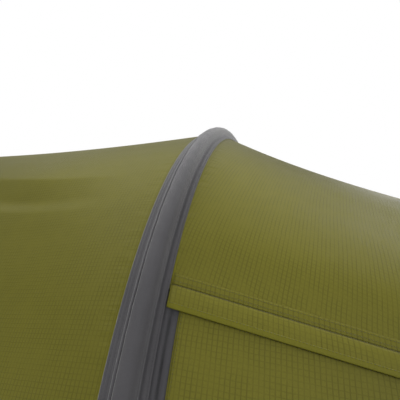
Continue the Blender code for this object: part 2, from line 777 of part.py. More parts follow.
def build_vent(fly, net, plastic, collection):
    inside = Vector((X_REAR, 0, 0.3))
    inset = VENT_NET_CLEAR
    angles = [VENT_ANGLES[0] + inset] + VENT_ANGLES[1:-1] + [VENT_ANGLES[-1] - inset]
    shares = [VENT_NEAR + inset, VENT_FAR - inset]
    cloth("rear_vent_net", bay_rows(TAIL_BAY, shares, angles), TAPE_THICK, net, collection, inside)

    half = VENT_ANGLE + HOOD_WIDER
    wide = steps(math.pi / 2 - half, math.pi / 2 + half, 4)
    hinge_share, lip_share = VENT_NEAR - HOOD_BEFORE, VENT_FAR + HOOD_PAST
    lift = FLY_THICK + HOOD_LIFT
    hinge = TAIL_BAY.lifted(hinge_share, math.pi / 2, lift)
    turn = Matrix.Translation(hinge) @ Matrix.Rotation(VENT_OPEN, 4, "Y") @ Matrix.Translation(-hinge)
    rows = bay_rows(TAIL_BAY, steps(hinge_share, lip_share, 3), wide, lift)
    rows = [[turn @ point for point in row] for row in rows]
    cloth("rear_vent_hood", rows, TAPE_THICK, fly, collection, inside, None, hinge)

    drop = Vector((0, 0, VENT_ROD_R + ROD_CLEAR))
    rod = bpy.data.curves.new("rear_vent_lip_rod", "CURVE")
    rod.dimensions = "3D"
    rod.bevel_depth = VENT_ROD_R
    rod.bevel_resolution = 1
    rod.use_fill_caps = True
    spline = rod.splines.new("POLY")
    spline.points.add(len(rows[-1]) - 1)
    for point, place in zip(spline.points, rows[-1]):
        point.co = (*(place - drop - hinge), 1)
    made = add_object("rear_vent_lip_rod", rod, plastic, collection)
    made.location = hinge


# Webbing


def strap(name, path, across, width, material, collection, inside, slot=None, thickness=WEB_THICK):
    """Webbing along a path of points. The slot is the index of the stretch that has a peg hole in it."""
    columns = (-width / 2, -width / 4, width / 4, width / 2)
    rows = [[point + across * column for column in columns] for point in path]

    def solid(i, j):
        return not (i == slot and j == 1)

    cloth(name, rows, thickness, material, collection, inside, solid)


def on_sleeve(hoop, side, height, lift):
    """Point over the crown of a sleeve at a height above the ground. Side is -1 for the near side."""
    angle = angle_at(hoop.half, hoop.high, height)
    point = hoop.point(angle) + hoop_out(hoop, angle) * (TUNNEL_HIGH + lift)
    return Vector((point.x, point.y * -side, point.z))


def foot_strap(name, hoop, side, buckled, material, collection):
    """Strap from the sleeve's end down past the pole's cup to a peg loop on the ground."""
    path = [on_sleeve(hoop, side, height, WEB_CLEAR) for height in STRAP_ON_SLEEVE]
    down = (STRAP_WOVEN if buckled else STRAP_STRAIGHT) + STRAP_FOOT
    path += [Vector((hoop.x, side * (hoop.half + out), high)) for out, high in down]
    inside = Vector((hoop.x, 0, 0.3))
    slot = len(path) - 3
    strap(name, path, Vector((1, 0, 0)), WEB_WIDE, material, collection, inside, slot)


def strap_buckle(name, hoop, side, material, collection):
    """Ladder buckle: a plate with two slots that the strap is woven through."""
    columns = (-BUCKLE_HALF, -BUCKLE_WINDOW, BUCKLE_WINDOW, BUCKLE_HALF)
    out = hoop.half + BUCKLE_OUT - BUCKLE_THICK / 2
    rows = [[Vector((hoop.x + column, side * out, high)) for column in columns] for high in BUCKLE_BARS]

    def frame(i, j):
        return j != 1 or i in (0, 2, 4)

    cloth(name, rows, BUCKLE_THICK, material, collection, Vector((hoop.x, 0, 0.06)), frame)


def corner_loop(name, corner, outward, material, collection):
    """Peg loop at a corner of the hem: webbing that comes down to the ground and lies on it."""
    path = [corner + outward * out + Vector((0, 0, high)) for out, high in PEG_LOOP]
    across = outward.cross(Vector((0, 0, 1)))
    inside = corner - outward + Vector((0, 0, -0.2))
    strap(name, path, across, WEB_WIDE, material, collection, inside, len(path) - 3)


def guy_loop(name, hoop, side, material, collection):
    """Small loop of webbing standing on the crown of a sleeve."""
    angle = angle_at(hoop.half, hoop.high, GUY_HIGH)
    base = on_sleeve(hoop, side, GUY_HIGH, WEB_CLEAR)
    out = hoop_out(hoop, angle)
    out = Vector((0, out.y * -side, out.z))
    along = Vector((1, 0, 0)).cross(out)
    rising = [(rise, -run) for rise, run in GUY_LOOP]
    loop = rising + [(GUY_LOOP_TOP, 0.0)] + list(reversed(GUY_LOOP))
    path = [base + out * rise + along * run for rise, run in loop]
    middle = base + out * GUY_LOOP_MIDDLE
    across = Vector((1, 0, 0))
    strap(name, path, across, GUY_LOOP_WIDE, material, collection, middle, None, GUY_LOOP_THICK)


def build_webbing(web, plastic, collection):
    hoops = (("main", MAIN_HOOP), ("rear", REAR_HOOP), ("front", FRONT_HOOP))
    for label, hoop in hoops:
        foot_strap(f"{label}_foot_strap_near", hoop, -1, True, web, collection)
        foot_strap(f"{label}_foot_strap_far", hoop, 1, False, web, collection)
        strap_buckle(f"{label}_strap_buckle_near", hoop, -1, plastic, collection)
    for label, hoop in hoops[:2]:
        guy_loop(f"{label}_guy_loop_near", hoop, -1, web, collection)
        guy_loop(f"{label}_guy_loop_far", hoop, 1, web, collection)
    for label, x, half, ahead in (("nose", X_NOSE, NOSE_HALF, 1), ("tail", X_TAIL, TAIL_HALF, -1)):
        for name, side in (("near", -1), ("far", 1)):
            outward = Vector((ahead, side * PEG_SPLAY, 0)).normalized()
            corner = Vector((x, side * (half - PEG_CORNER_INSET), 0))
            corner_loop(f"{label}_peg_loop_{name}", corner, outward, web, collection)
    for name, x in (("inner_hanger_front", HANGER_FRONT_X), ("inner_hanger_rear", HANGER_REAR_X)):
        share = (X_MAIN - x) / MAIN_BAY.length
        top = MAIN_BAY.point(share, math.pi / 2).z - HANGER_CLEAR_HIGH
        low = INNER_HIGH + SEAM_GAP + INNER_THICK + HANGER_CLEAR_LOW
        path = [Vector((x, 0, high)) for high in steps(low, top, 2)]
        strap(name, path, Vector((0, 1, 0)), HANGER_WIDE, web, collection, Vector((x - 1, 0, 1)))


def main():
    clear_scene()
    tent = new_collection("Two-person tunnel tent")
    fly = new_material("Olive ripstop", (0.17, 0.16, 0.04), 0.45)
    grey = new_material("Grey sleeve cloth", (0.10, 0.10, 0.105), 0.6)
    tape = new_material("Grey zip tape", (0.09, 0.09, 0.10), 0.7)
    alloy = new_material("Anodised alloy", (0.55, 0.56, 0.58), 0.35, 1.0)
    plastic = new_material("Black plastic", (0.02, 0.02, 0.02), 0.4)
    ground = new_material("Groundsheet cloth", (0.06, 0.06, 0.065), 0.6)
    breathable = new_material("Inner tent cloth", (0.55, 0.52, 0.42), 0.8)
    net = new_material("Insect net", (0.03, 0.03, 0.03), 0.9)
    web = new_material("Grey webbing", (0.07, 0.07, 0.075), 0.8)

    build_canopies(fly, tent)
    build_porch(fly, tape, tent)
    door_slider(alloy, tent)
    build_sleeves(grey, tent)
    build_poles(alloy, plastic, tent)
    build_inner(ground, breathable, net, alloy, tent)
    build_vent(fly, net, plastic, tent)
    build_webbing(web, plastic, tent)


main()
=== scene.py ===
"""Looks of the two-person tunnel tent: cloth, stitching, webbing, materials, light and camera.

Metres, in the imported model's frame. Cloth is laid out on grids: rows run round the tent from foot to foot,
and the grid's own lengths, in metres, drive the weave and the seams of its material.
"""

import math

import bmesh
import bpy
import numpy as np
from mathutils import Matrix, Vector


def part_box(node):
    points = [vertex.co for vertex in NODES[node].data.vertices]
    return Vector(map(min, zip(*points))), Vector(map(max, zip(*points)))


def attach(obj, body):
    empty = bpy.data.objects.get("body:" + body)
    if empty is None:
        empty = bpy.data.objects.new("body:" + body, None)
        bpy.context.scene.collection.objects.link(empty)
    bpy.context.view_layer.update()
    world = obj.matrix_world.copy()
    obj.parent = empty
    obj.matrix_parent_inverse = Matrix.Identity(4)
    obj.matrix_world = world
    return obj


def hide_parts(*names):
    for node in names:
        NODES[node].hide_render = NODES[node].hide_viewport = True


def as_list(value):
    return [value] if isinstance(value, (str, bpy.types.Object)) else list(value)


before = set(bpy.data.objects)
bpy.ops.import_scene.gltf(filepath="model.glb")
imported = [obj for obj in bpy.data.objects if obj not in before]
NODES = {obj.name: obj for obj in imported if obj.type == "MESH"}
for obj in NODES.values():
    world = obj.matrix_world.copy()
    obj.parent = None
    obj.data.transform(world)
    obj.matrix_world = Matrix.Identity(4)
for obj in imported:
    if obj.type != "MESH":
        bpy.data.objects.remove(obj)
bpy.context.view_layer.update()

# Shape of the outer tent, as in the model
X_MAIN, X_REAR, X_FRONT, X_NOSE, X_TAIL = 0.62, -0.58, 1.47, 1.83, -1.83
MAIN_HALF, MAIN_HIGH = 0.750, 1.050
FRONT_HALF, FRONT_HIGH = 0.610, 0.734
NOSE_HALF, TAIL_HALF = 0.40, 0.45
ARCH_POWER = 2.12
HEM_HIGH = 0.030
SAG_CENTRE_HIGH = 0.35
MAIN_SAG, PORCH_SAG, END_SAG = 0.0244, 0.0532, 0.045
FLY_OUT = 0.0015
ZIP_ANGLE, ZIP_DROP = 0.7219, 0.008
ARC_PER_ANGLE = 0.93
DOOR_FRONT_MARGIN = 0.045
TAPE_WIDE, TAPE_LAP, ZIP_GAP = 0.011, 0.004, 0.0022
FLAP_WIDE = 0.034
SLEEVE_HALF, SLEEVE_END_HIGH = 0.030, 0.115
TUNNEL_HIGH = 0.019
VENT_NEAR, VENT_FAR, VENT_ANGLE = 0.14, 0.30, 0.20
VENT_OPEN = math.radians(24)

# Cloth as it is drawn here: the sleeve's porch side is as wide as in the photograph
CLOTH = 0.0006
JOIN_GAP = 0.0004
SLEEVE_AHEAD = 0.0350
RIPSTOP = 0.0068
SEAM_REACH = 0.045
NARROWEST = 0.0105
TINY = 1e-6

# Camera: place, direction as degrees to the left and down, and lens
CAMERA_AT = (0.8285, -0.9806, 0.7975)
CAMERA_LEFT, CAMERA_DOWN = 17.4788, -3.3366
CAMERA_LENS, CAMERA_SENSOR = 27.465, 36.0


# Surfaces


def arch(half, high, angle):
    """y and z of a hoop. Angle 0 is the foot at -Y, and pi the foot at +Y."""
    power = 2 / ARCH_POWER
    side = np.cos(angle)
    return -half * np.sign(side) * np.abs(side) ** power, high * np.abs(np.sin(angle)) ** power


def arch_angle(height, high):
    return math.asin((height / high) ** (ARCH_POWER / 2))


def smooth(value):
    value = np.clip(value, 0.0, 1.0)
    return value * value * (3 - 2 * value)


def unit(vectors):
    return vectors / np.linalg.norm(vectors, axis=-1, keepdims=True)


def together(*values):
    """Arrays of one shape."""
    return np.broadcast_arrays(*(np.asarray(value, float) for value in values))


def facing_out(normals, here):
    """Unit normals, turned away from the tent's long axis."""
    normals = unit(normals)
    inward = (normals * (here * np.array([0, 1, 1]))).sum(-1, keepdims=True) < 0
    return np.where(inward, -normals, normals)


def spaced(knots, size):
    """Values that pass through every knot, at most a size apart."""
    values = [knots[0]]
    for before, after in zip(knots, knots[1:]):
        count = max(1, math.ceil(abs(after - before) / size - TINY))
        values += [before + (after - before) * i / count for i in range(1, count + 1)]
    return np.array(values)


class Hoop:
    def __init__(self, x, half, high):
        self.x, self.half, self.high = x, half, high

    def point(self, angle):
        y, z = arch(self.half, self.high, angle)
        return np.stack([self.x + 0 * y, y, z], -1)

    def out(self, angle):
        """Unit vectors straight out of the tent."""
        step = 0.003
        along = self.point(angle + step) - self.point(angle - step)
        return facing_out(np.stack([0 * along[..., 0], -along[..., 2], along[..., 1]], -1), self.point(angle))

    def beside(self, angle, across, rise):
        """Points off the hoop: across is along X, and rise is straight out of the tent."""
        return self.point(angle) + np.array([across, 0, 0]) + self.out(angle) * np.asarray(rise)[..., None]

    def angle_at(self, height, side=-1):
        angle = arch_angle(height, self.high)
        return np.array(angle if side < 0 else math.pi - angle)


class GroundLine(Hoop):
    def point(self, angle):
        y = -self.half * np.cos(angle)
        return np.stack([self.x + 0 * y, y, self.high + 0 * y], -1)


class Bay:
    """Cloth from one station to the next: straight along its length, drawn in at the middle.

    A share is a place along it, from 0 at its first station to 1 at its last. gap and sleeve are the shares
    between it and the next bay, and under a sleeve.
    """

    def __init__(self, first, last, sag, firm_angle, soft_angle):
        self.first, self.last, self.sag = first, last, sag
        self.firm_angle, self.soft_angle = firm_angle, soft_angle
        self.length = abs(last.x - first.x)
        self.gap, self.sleeve = JOIN_GAP / self.length, SLEEVE_HALF / self.length

    def point(self, share, angle):
        share, angle = together(share, angle)
        flat = self.first.point(angle) * (1 - share[..., None]) + self.last.point(angle) * share[..., None]
        side = np.minimum(angle, math.pi - angle)
        softness = smooth((side - self.firm_angle) / (self.soft_angle - self.firm_angle))
        keep = (1 - self.sag * 4 * share * (1 - share) * softness)[..., None]
        centre = flat * np.array([1, 0, 0]) + np.array([0, 0, SAG_CENTRE_HIGH])
        return centre + (flat - centre) * keep

    def lifted(self, share, angle, height):
        """Points at a height off the cloth, on the side away from the tent's inside."""
        share, angle = together(share, angle)
        step = 0.004
        low, high = np.clip(share - step, 0, 1), np.clip(share + step, 0, 1)
        before, after = np.clip(angle - step, 0.01, None), np.clip(angle + step, None, math.pi - 0.01)
        along = self.point(high, angle) - self.point(low, angle)
        across = self.point(share, after) - self.point(share, before)
        here = self.point(share, angle)
        return here + facing_out(np.cross(along, across), here) * np.asarray(height)[..., None]

    def grid(self, shares, angles, height):
        return self.lifted(shares[:, None], angles[None, :], height)

    def spaced(self, knots, size):
        return spaced(knots, size / self.length)

    def beside(self, hoop, distance, angle, height):
        """Points on the cloth, a distance from one of its hoops."""
        near = 0.04
        start = 0.0 if hoop is self.first else 1.0
        step = np.linalg.norm(self.point(abs(start - near), angle) - self.point(start, angle), axis=-1)
        return self.lifted(np.abs(start - near * distance / step), angle, height)


MAIN_HOOP = Hoop(X_MAIN, MAIN_HALF, MAIN_HIGH)
REAR_HOOP = Hoop(X_REAR, MAIN_HALF, MAIN_HIGH)
FRONT_HOOP = Hoop(X_FRONT, FRONT_HALF, FRONT_HIGH)
MAIN_BAY = Bay(MAIN_HOOP, REAR_HOOP, MAIN_SAG, 0.0, 0.6)
PORCH_BAY = Bay(MAIN_HOOP, FRONT_HOOP, PORCH_SAG, ZIP_ANGLE, 1.15)
TAIL_BAY = Bay(REAR_HOOP, GroundLine(X_TAIL, TAIL_HALF, HEM_HIGH), END_SAG, 0.0, 0.9)
NOSE_BAY = Bay(FRONT_HOOP, GroundLine(X_NOSE, NOSE_HALF, HEM_HIGH), END_SAG, 0.0, 0.9)
HEM_ANGLE = arch_angle(HEM_HIGH, MAIN_HIGH)
VENT_ANGLES = (math.pi / 2 - VENT_ANGLE, math.pi / 2 + VENT_ANGLE)

# Each hoop, with the bay behind it and the bay ahead of it
JOINS = (
    ("main", MAIN_HOOP, MAIN_BAY, PORCH_BAY),
    ("rear", REAR_HOOP, TAIL_BAY, MAIN_BAY),
    ("front", FRONT_HOOP, PORCH_BAY, NOSE_BAY),
)


def door_outline(inset):
    """Shares of the door's two upright sides and angle of its top, drawn in by a distance."""
    share = inset / PORCH_BAY.length
    left = (SLEEVE_HALF + 0.0015) / PORCH_BAY.length + share
    right = 1 - DOOR_FRONT_MARGIN / PORCH_BAY.length - share
    return left, right, ZIP_ANGLE - (ZIP_DROP + inset) / ARC_PER_ANGLE


# Node materials


class Paint:
    """A node material. Each method adds a node and returns its output, which the next one takes."""

    def __init__(self, name, **constants):
        self.material = bpy.data.materials.new(name)
        self.material.use_nodes = True
        self.tree = self.material.node_tree
        self.shader = self.tree.nodes["Principled BSDF"]
        for socket, value in constants.items():
            self.shader.inputs[socket.replace("_", " ")].default_value = value

    def add(self, kind, inputs, output=0, **settings):
        node = self.tree.nodes.new("ShaderNode" + kind)
        for key, value in settings.items():
            setattr(node, key, value)
        for socket, value in inputs.items():
            if isinstance(value, bpy.types.NodeSocket):
                self.tree.links.new(value, node.inputs[socket])
            else:
                node.inputs[socket].default_value = value
        return node.outputs[output]

    def math(self, operation, first, second=0.0):
        return self.add("Math", {0: first, 1: second}, operation=operation)

    def times(self, first, second):
        return self.math("MULTIPLY", first, second)

    def plus(self, first, second):
        return self.math("ADD", first, second)

    def wave(self, value, pitch):
        return self.math("SINE", self.times(value, math.tau / pitch))

    def axis(self, vector, name):
        return self.add("SeparateXYZ", {"Vector": vector}, name)

    def lengths(self, layer):
        """The cloth's own lengths, in metres, from one of its layers."""
        return self.add("UVMap", {}, uv_map=layer)

    def stretched(self, vector, scale):
        return self.add("Mapping", {"Vector": vector, "Scale": scale})

    def noise(self, vector, scale, detail=3.0, rough=0.55):
        inputs = {"Vector": vector, "Scale": scale, "Detail": detail, "Roughness": rough}
        return self.add("TexNoise", inputs)

    def place(self):
        return self.add("TexCoord", {}, "Object")

    def grain(self, scale, detail=3.0):
        return self.noise(self.place(), scale, detail)

    def spread(self, value, low, high, to_low=0.0, to_high=1.0):
        inputs = {0: value, 1: low, 2: high, 3: to_low, 4: to_high}
        return self.add("MapRange", inputs, interpolation_type="SMOOTHSTEP")

    def threads(self, value, pitch, width):
        """1 on lines a pitch apart, and 0 between them."""
        cycle = self.math("FRACT", self.math("DIVIDE", value, pitch))
        off = self.times(self.math("ABSOLUTE", self.math("SUBTRACT", cycle, 0.5)), pitch)
        return self.spread(off, width, width * 0.35)

    def weave(self, cloth, pitch):
        """Plain weave: warp and weft threads that cross over each other, from -1 to 1."""
        return self.times(self.wave(self.axis(cloth, "X"), pitch), self.wave(self.axis(cloth, "Y"), pitch))

    def mix(self, factor, *colours):
        inputs = {0: factor}
        for index, colour in zip((6, 7), colours):
            inputs[index] = colour if isinstance(colour, bpy.types.NodeSocket) else (*colour, 1.0)
        return self.add("Mix", inputs, 2, data_type="RGBA")

    def tones(self, value, low, high, first, second, most=1.0):
        """From the first colour to the second, or most of the way, as the value rises from low to high."""
        return self.mix(self.spread(value, low, high, 0.0, most), first, second)

    def bumps(self, *layers):
        """Normal with layers of height on top of each other, given as height, distance and strength."""
        normal = None
        for height, distance, strength in layers:
            inputs = {"Height": height, "Distance": distance, "Strength": strength}
            if normal is not None:
                inputs["Normal"] = normal
            normal = self.add("Bump", inputs)
        return normal

    def wear(self, **sockets):
        """Links outputs to the shader's sockets."""
        for socket, value in sockets.items():
            self.tree.links.new(value, self.shader.inputs[socket.replace("_", " ")])
        return self.material


def shade(colour, factor):
    return tuple(channel * factor for channel in colour)


def ripstop_cloth(name, colour, rough, sheen=0.08, grid=1.0):
    """Thin cloth with a coating and a grid of thicker threads, puckered beside its seams, with painted shade
    where it is seen edge-on.
    """
    paint = Paint(name, Specular_IOR_Level=0.22, IOR=1.5, Sheen_Weight=sheen, Sheen_Roughness=0.2)
    cloth, seam = paint.lengths("cloth"), paint.lengths("seam")
    slack = paint.noise(cloth, 30.0, 2.0)
    wander = paint.times(slack, 0.0020)
    hoopwise = paint.threads(paint.plus(paint.axis(cloth, "Y"), wander), RIPSTOP, 0.0011)
    ridgewise = paint.threads(paint.plus(paint.axis(cloth, "X"), wander), RIPSTOP, 0.0009)
    crossing = paint.math("MAXIMUM", hoopwise, paint.times(ridgewise, 0.6))
    crossing = paint.times(crossing, paint.spread(slack, 0.30, 0.62, 0.45, 1.0))
    patches = paint.grain(2.3, 4.0)

    dull = paint.tones(patches, 0.35, 0.68, shade(colour, 0.93), shade(colour, 1.06))
    grained = paint.tones(paint.grain(420.0, 2.0), 0.3, 0.7, dull, shade(colour, 0.82), 0.35)
    lined = paint.mix(paint.times(crossing, 0.58 * grid), grained, shade(colour, 0.56))
    # Base colour darkened where the cloth is seen edge-on, towards its silhouettes: painted shade.
    edge_on = paint.add("LayerWeight", {"Blend": 0.5}, "Facing")
    painted_grazing_shade = paint.tones(edge_on, 0.50, 0.90, lined, shade(colour, 0.45), 0.8)

    near_seam = paint.axis(seam, "Y")
    drawn_out = paint.add("CombineXYZ", {"X": paint.axis(seam, "X"), "Y": paint.times(near_seam, 0.22)})
    pucker = paint.times(paint.noise(drawn_out, 75.0, 2.0, 0.5), paint.spread(near_seam, SEAM_REACH, 0.006))
    creases = paint.noise(paint.stretched(cloth, (1, 0.25, 1)), 9.0, 3.0, 0.45)
    normal = paint.bumps(
        (creases, 0.004, 0.55),
        (pucker, 0.0022, 0.9),
        (crossing, 0.00022, 0.8 * grid),
        (paint.weave(cloth, 0.0011), 0.00005, 0.5),
    )
    roughness = paint.spread(patches, 0.3, 0.7, rough - 0.04, rough + 0.05)
    return paint.wear(Base_Color=painted_grazing_shade, Roughness=roughness, Normal=normal)


def heavy_cloth(name, colour, rough, pitch=0.0013, depth=0.00014, sheen=0.12):
    """Close plain weave, as in sleeves and tapes, a little uneven and creased."""
    paint = Paint(name, Specular_IOR_Level=0.45, IOR=1.5, Sheen_Weight=sheen, Sheen_Roughness=0.35)
    cloth = paint.lengths("cloth")
    weave = paint.weave(cloth, pitch)
    patches = paint.grain(14.0, 4.0)
    base = paint.tones(patches, 0.3, 0.7, shade(colour, 0.90), shade(colour, 1.08))
    grained = paint.tones(paint.grain(640.0, 2.0), 0.35, 0.7, base, shade(colour, 1.25), 0.5)
    # Darker in the hollows of the weave: painted shade.
    woven = paint.tones(weave, -0.4, -1.0, grained, shade(colour, 0.6), 0.35)
    creases = paint.noise(paint.stretched(cloth, (1, 0.4, 1)), 60.0, 3.0, 0.5)
    normal = paint.bumps((creases, 0.0012, 0.6), (weave, depth, 0.8))
    roughness = paint.spread(patches, 0.3, 0.7, rough - 0.05, rough + 0.05)
    return paint.wear(Base_Color=woven, Roughness=roughness, Normal=normal)


def webbing_cloth(name, colour):
    """Flat webbing: ribs across it in a herringbone of two directions, with a firm edge."""
    paint = Paint(name, Roughness=0.72, Specular_IOR_Level=0.35, Sheen_Weight=0.2, Sheen_Roughness=0.5)
    cloth = paint.lengths("cloth")
    across, along = paint.axis(cloth, "X"), paint.axis(cloth, "Y")
    ribs = paint.wave(paint.plus(along, paint.times(paint.math("ABSOLUTE", across), 0.8)), 0.0017)
    height = paint.plus(ribs, paint.times(paint.wave(across, 0.0021), 0.6))
    # Darker in the grooves between the ribs: painted shade.
    base = paint.tones(ribs, -1.0, 0.4, shade(colour, 0.55), colour)
    fuzzy = paint.tones(paint.grain(500.0), 0.4, 0.75, base, shade(colour, 1.5), 0.5)
    return paint.wear(Base_Color=fuzzy, Normal=paint.bumps((height, 0.00022, 0.9)))


def net_cloth(name, colour):
    """Fine insect net: round holes in rows, closer together than a midge is wide."""
    paint = Paint(name, Roughness=0.85, Specular_IOR_Level=0.2)
    layout = {"Vector": paint.lengths("cloth"), "Scale": 700.0, "Randomness": 0.15}
    thread = paint.spread(paint.add("TexVoronoi", layout, "Distance"), 0.25, 0.5)
    tone = paint.mix(thread, shade(colour, 0.5), shade(colour, 1.5))
    uneven = paint.tones(paint.grain(5.0), 0.35, 0.7, tone, shade(colour, 0.7), 0.5)
    return paint.wear(Base_Color=uneven, Normal=paint.bumps((thread, 0.0002, 0.7)))


def moulded_plastic(name, colour):
    """Moulded nylon: a fine spark-eroded grain, duller where it is rubbed."""
    paint = Paint(name, Specular_IOR_Level=0.5, Coat_Weight=0.05, Coat_Roughness=0.3)
    flow = paint.grain(60.0)
    tone = paint.tones(flow, 0.3, 0.7, shade(colour, 0.8), shade(colour, 1.4))
    normal = paint.bumps((paint.grain(1500.0), 0.00006, 0.5))
    return paint.wear(Base_Color=tone, Roughness=paint.spread(flow, 0.3, 0.7, 0.36, 0.52), Normal=normal)


def anodised_tube(name, colour):
    """Drawn and anodised tube: fine lines along it, small scuffs from use."""
    paint = Paint(name, Metallic=1.0, Anisotropic=0.3)
    drawn = paint.noise(paint.stretched(paint.place(), (900, 60, 60)), 1.0, 2.0)
    rubbed = paint.spread(paint.noise(paint.place(), 260.0, 5.0, 0.75), 0.60, 0.72)
    tone = paint.mix(rubbed, colour, shade(colour, 1.3))
    roughness = paint.plus(paint.spread(drawn, 0.3, 0.7, 0.26, 0.36), paint.times(rubbed, 0.15))
    return paint.wear(Base_Color=tone, Roughness=roughness, Normal=paint.bumps((drawn, 0.00003, 0.4)))


OLIVE = (0.224, 0.209, 0.0255)
FLY = ripstop_cloth("Olive ripstop", OLIVE, 0.50)
# Hem tape: real folded edges, in a slightly lighter olive than the panels as a painted highlight.
HEM_TAPE_AND_HIGHLIGHT = ripstop_cloth("Olive hem tape with painted highlight", (0.232, 0.220, 0.020), 0.5, 0.0, 0.2)
SLEEVE = heavy_cloth("Grey sleeve cloth", (0.108, 0.105, 0.113), 0.46, sheen=0.75)
TAPE = heavy_cloth("Grey zip tape", (0.105, 0.103, 0.112), 0.66, 0.0016, 0.0002)
INNER = ripstop_cloth("Inner tent cloth", (0.60, 0.57, 0.45), 0.62, 0.15, 0.6)
GROUND = heavy_cloth("Coated groundsheet", (0.070, 0.072, 0.076), 0.42, 0.0018, 0.00008)
NET = net_cloth("Insect net", (0.030, 0.030, 0.032))
WEB = webbing_cloth("Grey webbing", (0.095, 0.095, 0.100))
THREAD = webbing_cloth("Sewing thread", (0.060, 0.058, 0.060))
# Near-black thread for the seam in the groove at a sleeve's shoulder: a real seam, drawn dark as painted
# shade of the crease.
CREASE_SHADE_THREAD = webbing_cloth("Sewing thread darkened as crease shade", (0.030, 0.028, 0.028))
OLIVE_THREAD = webbing_cloth("Olive sewing thread", shade(OLIVE, 0.55))
PLASTIC = moulded_plastic("Black moulded nylon", (0.022, 0.022, 0.023))
ZIP_PLASTIC = moulded_plastic("Grey zip coil", (0.060, 0.060, 0.064))
ALLOY = anodised_tube("Anodised alloy", (0.62, 0.63, 0.65))
ZIP_METAL = anodised_tube("Dark zip metal", (0.16, 0.16, 0.17))


# Building cloth

HEMS, SLEEVES = ("first_column", "last_column"), ("first_row", "last_row")
STITCH_FACES = tuple(
    face
    for a, b in ((1, 2), (2, 3), (3, 1))
    for face in ((0, b, a), (a, b, b + 3, a + 3), (7, a + 3, b + 3))
)
BOX_FACES = ((0, 1, 2, 3), (7, 6, 5, 4), (0, 4, 5, 1), (1, 5, 6, 2), (2, 6, 7, 3), (3, 7, 4, 0))
ASLANT = np.array([0.31, 0.17, 0.94])


def running(points, axis=0):
    """Length run along one axis of a grid or line of points, from 0 at its start."""
    steps = np.linalg.norm(np.diff(points, axis=axis), axis=-1)
    start = np.zeros_like(np.take(steps, [0], axis=axis))
    return np.concatenate([start, np.cumsum(steps, axis=axis)], axis=axis)


def edge_distance(along, around, sewn, under):
    """Run along, and distance from, the nearest sewn side. The rows are hidden under a sleeve for a width.

    Where the nearest side changes, at a corner, the distance is raised above SEAM_REACH, so that the puckers
    of the two seams fade out there.
    """
    sides = {
        "first_row": (around, np.abs(along - under)),
        "last_row": (around, np.abs(along[-1:, :] - along - under)),
        "first_column": (along, around),
        "last_column": (along, around[:, -1:] - around),
    }
    run, near = np.zeros_like(along), np.ones_like(along)
    second = near
    for side in sewn:
        this_run, this_near = sides[side]
        closer = this_near < near
        second = np.where(closer, near, np.minimum(second, this_near))
        run, near = np.where(closer, this_run, run), np.where(closer, this_near, near)
    step = np.diff(along, axis=0).max() + np.diff(around, axis=1).max()
    return run, near + SEAM_REACH * smooth(2.2 - (second - near) / step)


def add_layer(mesh, name, first, second, corners):
    layer = mesh.uv_layers.new(name=name)
    values = np.stack([first.ravel()[corners], second.ravel()[corners]], -1)
    layer.data.foreach_set("uv", values.astype(np.float32).ravel())


def add_object(name, data):
    made = bpy.data.objects.new(name, data)
    bpy.context.scene.collection.objects.link(made)
    return made


def add_piece(name, mesh, material):
    mesh.materials.append(material)
    return add_object(name, mesh)


def settle(piece, body, slot, node=None):
    """Rides a finished piece on its body, and has it stand for the model's own node."""
    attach(piece, body)
    if node:
        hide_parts(node)


def lay_cloth(name, points, material, sewn=(), keep=None, thick=CLOTH, middle=None, lengths=None, under=0.0):
    """A sheet through a grid of points, which are on its inner face. keep says which squares stay."""
    rows, columns = points.shape[:2]
    index = np.arange(rows * columns).reshape(rows, columns)
    faces = np.stack([index[:-1, :-1], index[1:, :-1], index[1:, 1:], index[:-1, 1:]], -1).reshape(-1, 4)
    if keep is not None:
        faces = faces[keep.reshape(-1)]
    flat = points.reshape(-1, 3)
    inside = (flat[:, 0].mean(), 0, 0.2) if middle is None else middle
    corner = flat[faces]
    out = np.cross(corner[:, 1] - corner[:, 0], corner[:, 3] - corner[:, 0])
    if (out * (corner.mean(1) - inside)).sum() < 0:
        faces = faces[:, ::-1]
    mesh = bpy.data.meshes.new(name)
    mesh.from_pydata(flat.tolist(), [], faces.tolist())
    corners = faces.ravel()
    around, along = running(points, 1), running(points)
    if lengths is None:
        lengths = np.stack([around - around[:, [columns // 2]], along], -1)
    add_layer(mesh, "cloth", lengths[..., 0], lengths[..., 1], corners)
    add_layer(mesh, "seam", *edge_distance(along, around, sewn, under), corners)
    shape = bmesh.new()
    shape.from_mesh(mesh)
    bmesh.ops.delete(shape, geom=[v for v in shape.verts if not v.link_faces], context="VERTS")
    bmesh.ops.remove_doubles(shape, verts=list(shape.verts), dist=TINY)
    shape.to_mesh(mesh)
    shape.free()
    mesh.shade_smooth()
    made = add_piece(name, mesh, material)
    solidify = made.modifiers.new("Thickness", "SOLIDIFY")
    solidify.thickness = thick
    solidify.offset = 1.0
    made.shadow_terminator_geometry_offset = 0.2
    return made


def sew(
    name, points, material, rests_on, node=None, body="tent", slot="fly", held="stretched", cut=None, **laid
):
    """Lays a sheet of cloth, works out the flat cut that it was made from, and rides it on its body.

    Without a cut, it is measured on the grid. Narrow tapes are counted wider, with an edge to turn under.
    Nothing uses the cut once it is worked out.
    """
    piece = lay_cloth(name, points, material, **laid)
    width, length = cut or [max(float(running(points, axis).max()), NARROWEST) for axis in (1, 0)]
    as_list(rests_on)
    settle(piece, body, slot, node)
    return piece


